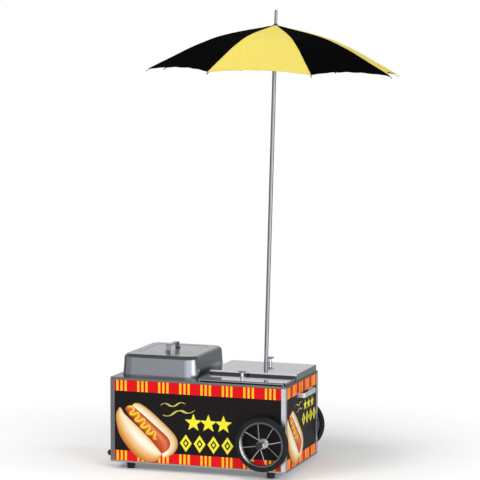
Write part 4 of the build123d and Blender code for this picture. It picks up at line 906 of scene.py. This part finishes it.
def half_columns(rib, side):
    """Columns of points from the rib to the middle of the next (1) or previous (-1) gore."""
    gore = rib if side > 0 else rib - 1
    seams, seam_width = len(SEAM_COLUMNS), SEAM_COLUMNS[-1]
    columns = []
    for c in range(seams + GORE_COLUMNS):
        column = []
        for k in range(ROWS + 1):
            outward = 1 - (1 - k / ROWS) ** 1.25    # rows are closer near the hem
            ring = HOLE_RADIUS + (RIM_RADIUS - HOLE_RADIUS) * outward
            width = 2 * ring * math.sin(RIB_STEP / 2)
            # near the hole the seam is squeezed into a quarter of the gore
            squeeze = min(1.0, 0.25 * width / seam_width)
            if c < seams:
                share = SEAM_COLUMNS[c] * squeeze / width
            else:
                seam_share = seam_width * squeeze / width
                share = seam_share + (0.5 - seam_share) * (c - seams + 1) / GORE_COLUMNS
            hem_radius = RIM_RADIUS - SCALLOP * 4 * share * (1 - share)
            radius = HOLE_RADIUS + (hem_radius - HOLE_RADIUS) * outward
            gore_share = share if side > 0 else 1 - share
            column.append(CanopyPoint(
                place=gore_point(gore, radius, gore_share),
                across=share * width * side,
                radius=radius,
                edge=(1 - outward) * (RIM_RADIUS - HOLE_RADIUS),
                gore=gore,
                share=gore_share))
        columns.append(column)
    return columns


def fold_lift(point):
    """Extra height of the folded seam over the rib and of the rolled hem."""
    seam = 0.0007 * (1 - clamp((abs(point.across) - 0.0024) / 0.0006))
    hem = 0.0005 * (1 - clamp((point.edge - 0.0115) / 0.0015))
    return seam + hem


def canopy_faces(columns, rows, rib_column):
    """Quads of the closed shell, and their slots: 0 before the rib, 1 after it."""
    faces, slots = [], []

    def index(layer, c, k):
        return (layer * columns + c) * rows + k

    for c in range(columns - 1):
        for k in range(rows - 1):
            faces.append([index(0, c, k), index(0, c, k + 1),
                          index(0, c + 1, k + 1), index(0, c + 1, k)])
            faces.append([index(1, c, k), index(1, c + 1, k),
                          index(1, c + 1, k + 1), index(1, c, k + 1)])
        for k in (0, rows - 1):
            quad = [index(0, c, k), index(0, c + 1, k), index(1, c + 1, k), index(1, c, k)]
            faces.append(quad if k else quad[::-1])
        slots += [0 if c < rib_column else 1] * (2 * rows)
    for c, slot in ((0, 0), (columns - 1, 1)):
        for k in range(rows - 1):
            quad = [index(0, c, k), index(1, c, k), index(1, c, k + 1), index(0, c, k + 1)]
            faces.append(quad if c == 0 else quad[::-1])
            slots.append(slot)
    return faces, slots


def canopy_piece(rib, cloths):
    before, after = half_columns(rib, -1), half_columns(rib, 1)
    # from the far edge of one half, over the rib, to the far edge of the other
    columns = before[:0:-1] + after
    points = [point for column in columns for point in column]
    places = np.array([point.place for point in points])
    normals = np.array([outer_normal(p.gore, p.radius, p.share) for p in points])
    lift = np.array([fold_lift(point) for point in points])[:, None]
    outer = places + normals * lift
    inner = places - normals * (CLOTH_THICKNESS + 0.3 * lift)
    to_world = np.column_stack([ACROSS_X, ACROSS_Y, POLE_AXIS])
    crown = POLE_BASE + POLE_AXIS * CROWN_HEIGHT
    shell = crown + np.vstack([outer, inner]) @ to_world.T

    faces, slots = canopy_faces(len(columns), ROWS + 1, rib_column=len(before) - 1)
    piece = mesh_object(f"canopy_{rib + 1}", shell, faces, cloths, slots, smooth=True)
    mesh = piece.data
    for name, field in (("across", "across"), ("along", "radius"), ("edge", "edge")):
        attribute = mesh.attributes.new(name, "FLOAT", "POINT")
        values = [getattr(point, field) for point in points] * 2
        attribute.data.foreach_set("value", np.array(values, np.float32))
    turn_faces_outward(mesh)

    # both faces of the cloth get exact normals; the narrow edge faces stay flat
    turned = normals @ to_world.T
    exact = np.vstack([turned, -turned])
    corner_normals = []
    for face in mesh.polygons:
        layers = {v >= len(points) for v in face.vertices}
        if len(layers) > 1:
            corner_normals += [tuple(face.normal)] * len(face.vertices)
        else:
            corner_normals += [tuple(exact[v]) for v in face.vertices]
    mesh.normals_split_custom_set(corner_normals)
    return piece


THREAD = 0.0009                 # period of the weave
STITCH_PITCH = 0.0034
STITCH_GAP = 0.28               # share of the pitch
STITCH_HALF_WIDTH = 0.00045
SEAM_STITCH, HEM_STITCH = 0.0046, 0.0100    # distances from the rib and from the hem


def cloth(name, colour, sheen, translucency, rough, specular):
    """Woven polyester: plain weave in the bump and colour, stitches beside the seams and hem."""
    mat = Material(name)
    across, along, edge = (mat.node("Attribute", attribute_name=attribute).outputs["Fac"]
                           for attribute in ("across", "along", "edge"))
    threads = [mat.math("SINE", mat.math("MULTIPLY", distance, 2 * math.pi / THREAD))
               for distance in (across, along)]
    weave = mat.math("MULTIPLY", *threads)
    slubs = mat.noise(scale=38.0, detail=5.0, rough=0.65)
    waves = mat.noise(scale=6.0, rough=0.5, shift=(5, 1, 2))

    def stitches(offset, line, run):
        """Dashes along run, on the line at offset."""
        on_line = mat.math("COMPARE", offset, line, STITCH_HALF_WIDTH)
        cycle = mat.math("FRACT", mat.math("DIVIDE", run, STITCH_PITCH))
        return mat.math("MULTIPLY", on_line, mat.math("GREATER_THAN", cycle, STITCH_GAP))

    from_rib = mat.math("ABSOLUTE", across)
    stitch = mat.math("MAXIMUM", stitches(from_rib, SEAM_STITCH, along),
                      stitches(edge, HEM_STITCH, from_rib))

    darker = tone(colour, gain=0.84)
    lighter = tone(colour, gain=1.06, lift=0.002)
    base = mat.mix(mat.remap(slubs, span=(0.35, 0.65), to=(0.0, 0.28)), colour, darker)
    base = mat.mix(mat.remap(weave, span=(-1.0, 1.0), to=(0.0, 0.30)), base, lighter)
    base = mat.mix(mat.remap(waves, span=(0.4, 0.7), to=(0.0, 0.12)), base, darker)
    base = mat.mix(mat.math("MULTIPLY", stitch, 0.65), base, tone(colour, gain=0.5))
    # threads and slubs stand up, stitches are sunk
    height = mat.math("ADD", mat.math("MULTIPLY", weave, 0.12), mat.math("MULTIPLY", slubs, 0.5))
    height = mat.math("SUBTRACT", height, mat.math("MULTIPLY", stitch, 0.8))
    normal = mat.bump(height, strength=0.22, distance=0.0006)
    mat.surface({
        "Base Color": base,
        "Roughness": mat.remap(waves, span=(0.3, 0.7), to=(rough - 0.08, rough + 0.06)),
        "Sheen Weight": sheen,
        "Sheen Roughness": 0.4,
        "Specular IOR Level": specular,
        "Normal": normal,
    })
    if translucency:
        glow = mat.node("BsdfTranslucent", {"Color": base, "Normal": normal})
        mat.feed(mat.output.inputs[0], mat.mix_shaders(translucency, mat.shader, glow))
    return mat


# the gore from rib n to rib n + 1 is yellow when n is even
GORE_CLOTHS = [
    cloth("cloth_yellow", srgb(232, 216, 108), sheen=0.05, translucency=0.30, rough=0.75,
          specular=0.12),
    cloth("cloth_black", (0.0011, 0.0011, 0.0013, 1.0), sheen=0.0, translucency=0.0, rough=0.85,
          specular=0.015),
]

for n in range(RIBS):
    piece = canopy_piece(n, [GORE_CLOTHS[(n - 1) % 2], GORE_CLOTHS[n % 2]])
    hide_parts("canopy")
    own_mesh(piece)
    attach(piece, f"rib_{n + 1}")


# ---------------------------------------------------------------------------
# stage: white floor, studio surroundings, lights, camera
# ---------------------------------------------------------------------------
def floor_white():
    """White surface round the cart that fades out into the white of the studio."""
    mat = Material("floor_white")
    mat.surface({"Base Color": (0.95, 0.95, 0.95, 1), "Roughness": 0.9,
                 "Specular IOR Level": 0.05})
    distance = mat.node("VectorMath", {0: mat.coordinates["Object"]}, operation="LENGTH")
    fade = mat.remap(distance.outputs["Value"], span=(0.75, 1.7), to=(0.0, 1.0))
    clear = mat.node("BsdfTransparent")
    mat.feed(mat.output.inputs[0], mat.mix_shaders(fade, mat.shader, clear))
    return mat


def build_floor():
    half = 3.0
    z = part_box("feet")[0].z - 0.0003
    corners = [(-half, -half, z), (half, -half, z), (half, half, z), (-half, half, z)]
    floor = mesh_object("floor", corners, [[0, 1, 2, 3]], [floor_white()])
    floor.visible_glossy = False


def build_world():
    """White to the camera, an even soft light, and a shaped room for the metal to mirror."""
    world = bpy.data.worlds.new("studio")
    scene.world = world
    graph = Graph(world)
    axes = graph.axes("Generated")

    def ease(value, span, to):
        return graph.remap(value, span, to, interpolation_type="SMOOTHSTEP")

    def inverse(value):
        return graph.math("SUBTRACT", 1.0, value)

    # the room low down: a back wall paler towards the left, dim at the far left,
    # and a front that brightens to the right
    back = ease(axes["X"], span=(-0.30, 0.40), to=(0.76, 0.26))
    far_left = ease(axes["X"], span=(-0.95, -0.60), to=(0.16, 1.0))
    front = ease(axes["X"], span=(-0.62, 0.25), to=(0.42, 1.30))
    behind = ease(axes["Y"], span=(-0.2, 0.2), to=(0.0, 1.0))
    walls = graph.math(
        "ADD", graph.math("MULTIPLY", graph.math("MULTIPLY", back, far_left), behind),
        graph.math("MULTIPLY", front, inverse(behind)))
    # dark overhead
    high = ease(axes["Z"], span=(0.26, 0.62), to=(0.0, 1.0))
    overhead = 0.16
    room = graph.math("ADD", graph.math("MULTIPLY", walls, inverse(high)),
                      graph.math("MULTIPLY", high, overhead))
    # a round soft light at the right, a little to the front
    soft_light_direction = (0.940, -0.335, 0.06)
    facing = graph.node("VectorMath", {0: graph.coordinates["Generated"],
                                       1: soft_light_direction}, operation="DOT_PRODUCT")
    soft_light = ease(facing.outputs["Value"], span=(0.925, 0.980), to=(0.0, 1.35))
    mirrored = graph.math("ADD", room, soft_light)

    even_light = 0.44
    rays = graph.node("LightPath").outputs
    glossy = rays["Is Glossy Ray"]
    strength = graph.math("ADD", graph.math("MULTIPLY", mirrored, glossy),
                          graph.math("MULTIPLY", even_light, inverse(glossy)))
    lighting = graph.node("Background", {"Color": (0.985, 0.99, 1.0, 1), "Strength": strength})
    backdrop = graph.node("Background", {"Color": (1, 1, 1, 1), "Strength": 1.0})
    seen = graph.mix_shaders(rays["Is Camera Ray"], lighting, backdrop)
    graph.node("OutputWorld", {0: seen})


# square lamps, hidden from reflections: name, place, point aimed at, size, power
LAMPS = [
    ("key", (-2.6, -4.2, 3.6), (0, 0, 0.5), 2.2, 122),
    ("fill", (4.2, -3.4, 2.6), (0, 0, 0.5), 2.2, 84),
    ("side", (5.2, 1.2, 2.9), (0.2, 0.1, 1.0), 2.0, 70),
    ("top", (0.2, -0.8, 5.2), (0.1, 0, 0.6), 2.6, 96),
]


def build_lamp(name, place, target, size, power):
    light = bpy.data.lights.new(name, "AREA")
    light.energy = power
    light.shape = "RECTANGLE"
    light.size = size
    light.size_y = size
    lamp = add_object(name, light)
    lamp.location = place
    lamp.rotation_mode = "QUATERNION"
    lamp.rotation_quaternion = (Vector(target) - Vector(place)).to_track_quat("-Z", "Y")
    lamp.visible_glossy = False


CAMERA_PLACE = (3.1615, -8.894, 1.916)
CAMERA_YAW = math.radians(-18.93)       # from +y, clockwise seen from above
CAMERA_PITCH = math.radians(5.96)       # downwards
CAMERA_ROLL = math.radians(-0.083)


def build_camera():
    data = bpy.data.cameras.new("camera")
    camera = add_object("camera", data)
    scene.camera = camera
    data.sensor_width = 36.0
    data.lens = 168.6
    data.clip_start, data.clip_end = 0.5, 60.0
    forward = Vector((math.sin(CAMERA_YAW) * math.cos(CAMERA_PITCH),
                      math.cos(CAMERA_YAW) * math.cos(CAMERA_PITCH),
                      -math.sin(CAMERA_PITCH)))
    level = Vector((math.cos(CAMERA_YAW), -math.sin(CAMERA_YAW), 0))
    upright = level.cross(forward)
    right = level * math.cos(CAMERA_ROLL) - upright * math.sin(CAMERA_ROLL)
    up = level * math.sin(CAMERA_ROLL) + upright * math.cos(CAMERA_ROLL)
    turn = Matrix((right, up, -forward)).transposed().to_4x4()
    camera.matrix_world = Matrix.Translation(CAMERA_PLACE) @ turn


build_floor()
build_world()
for lamp_row in LAMPS:
    build_lamp(*lamp_row)
build_camera()

scene.view_settings.view_transform = "Standard"
scene.view_settings.look = "None"
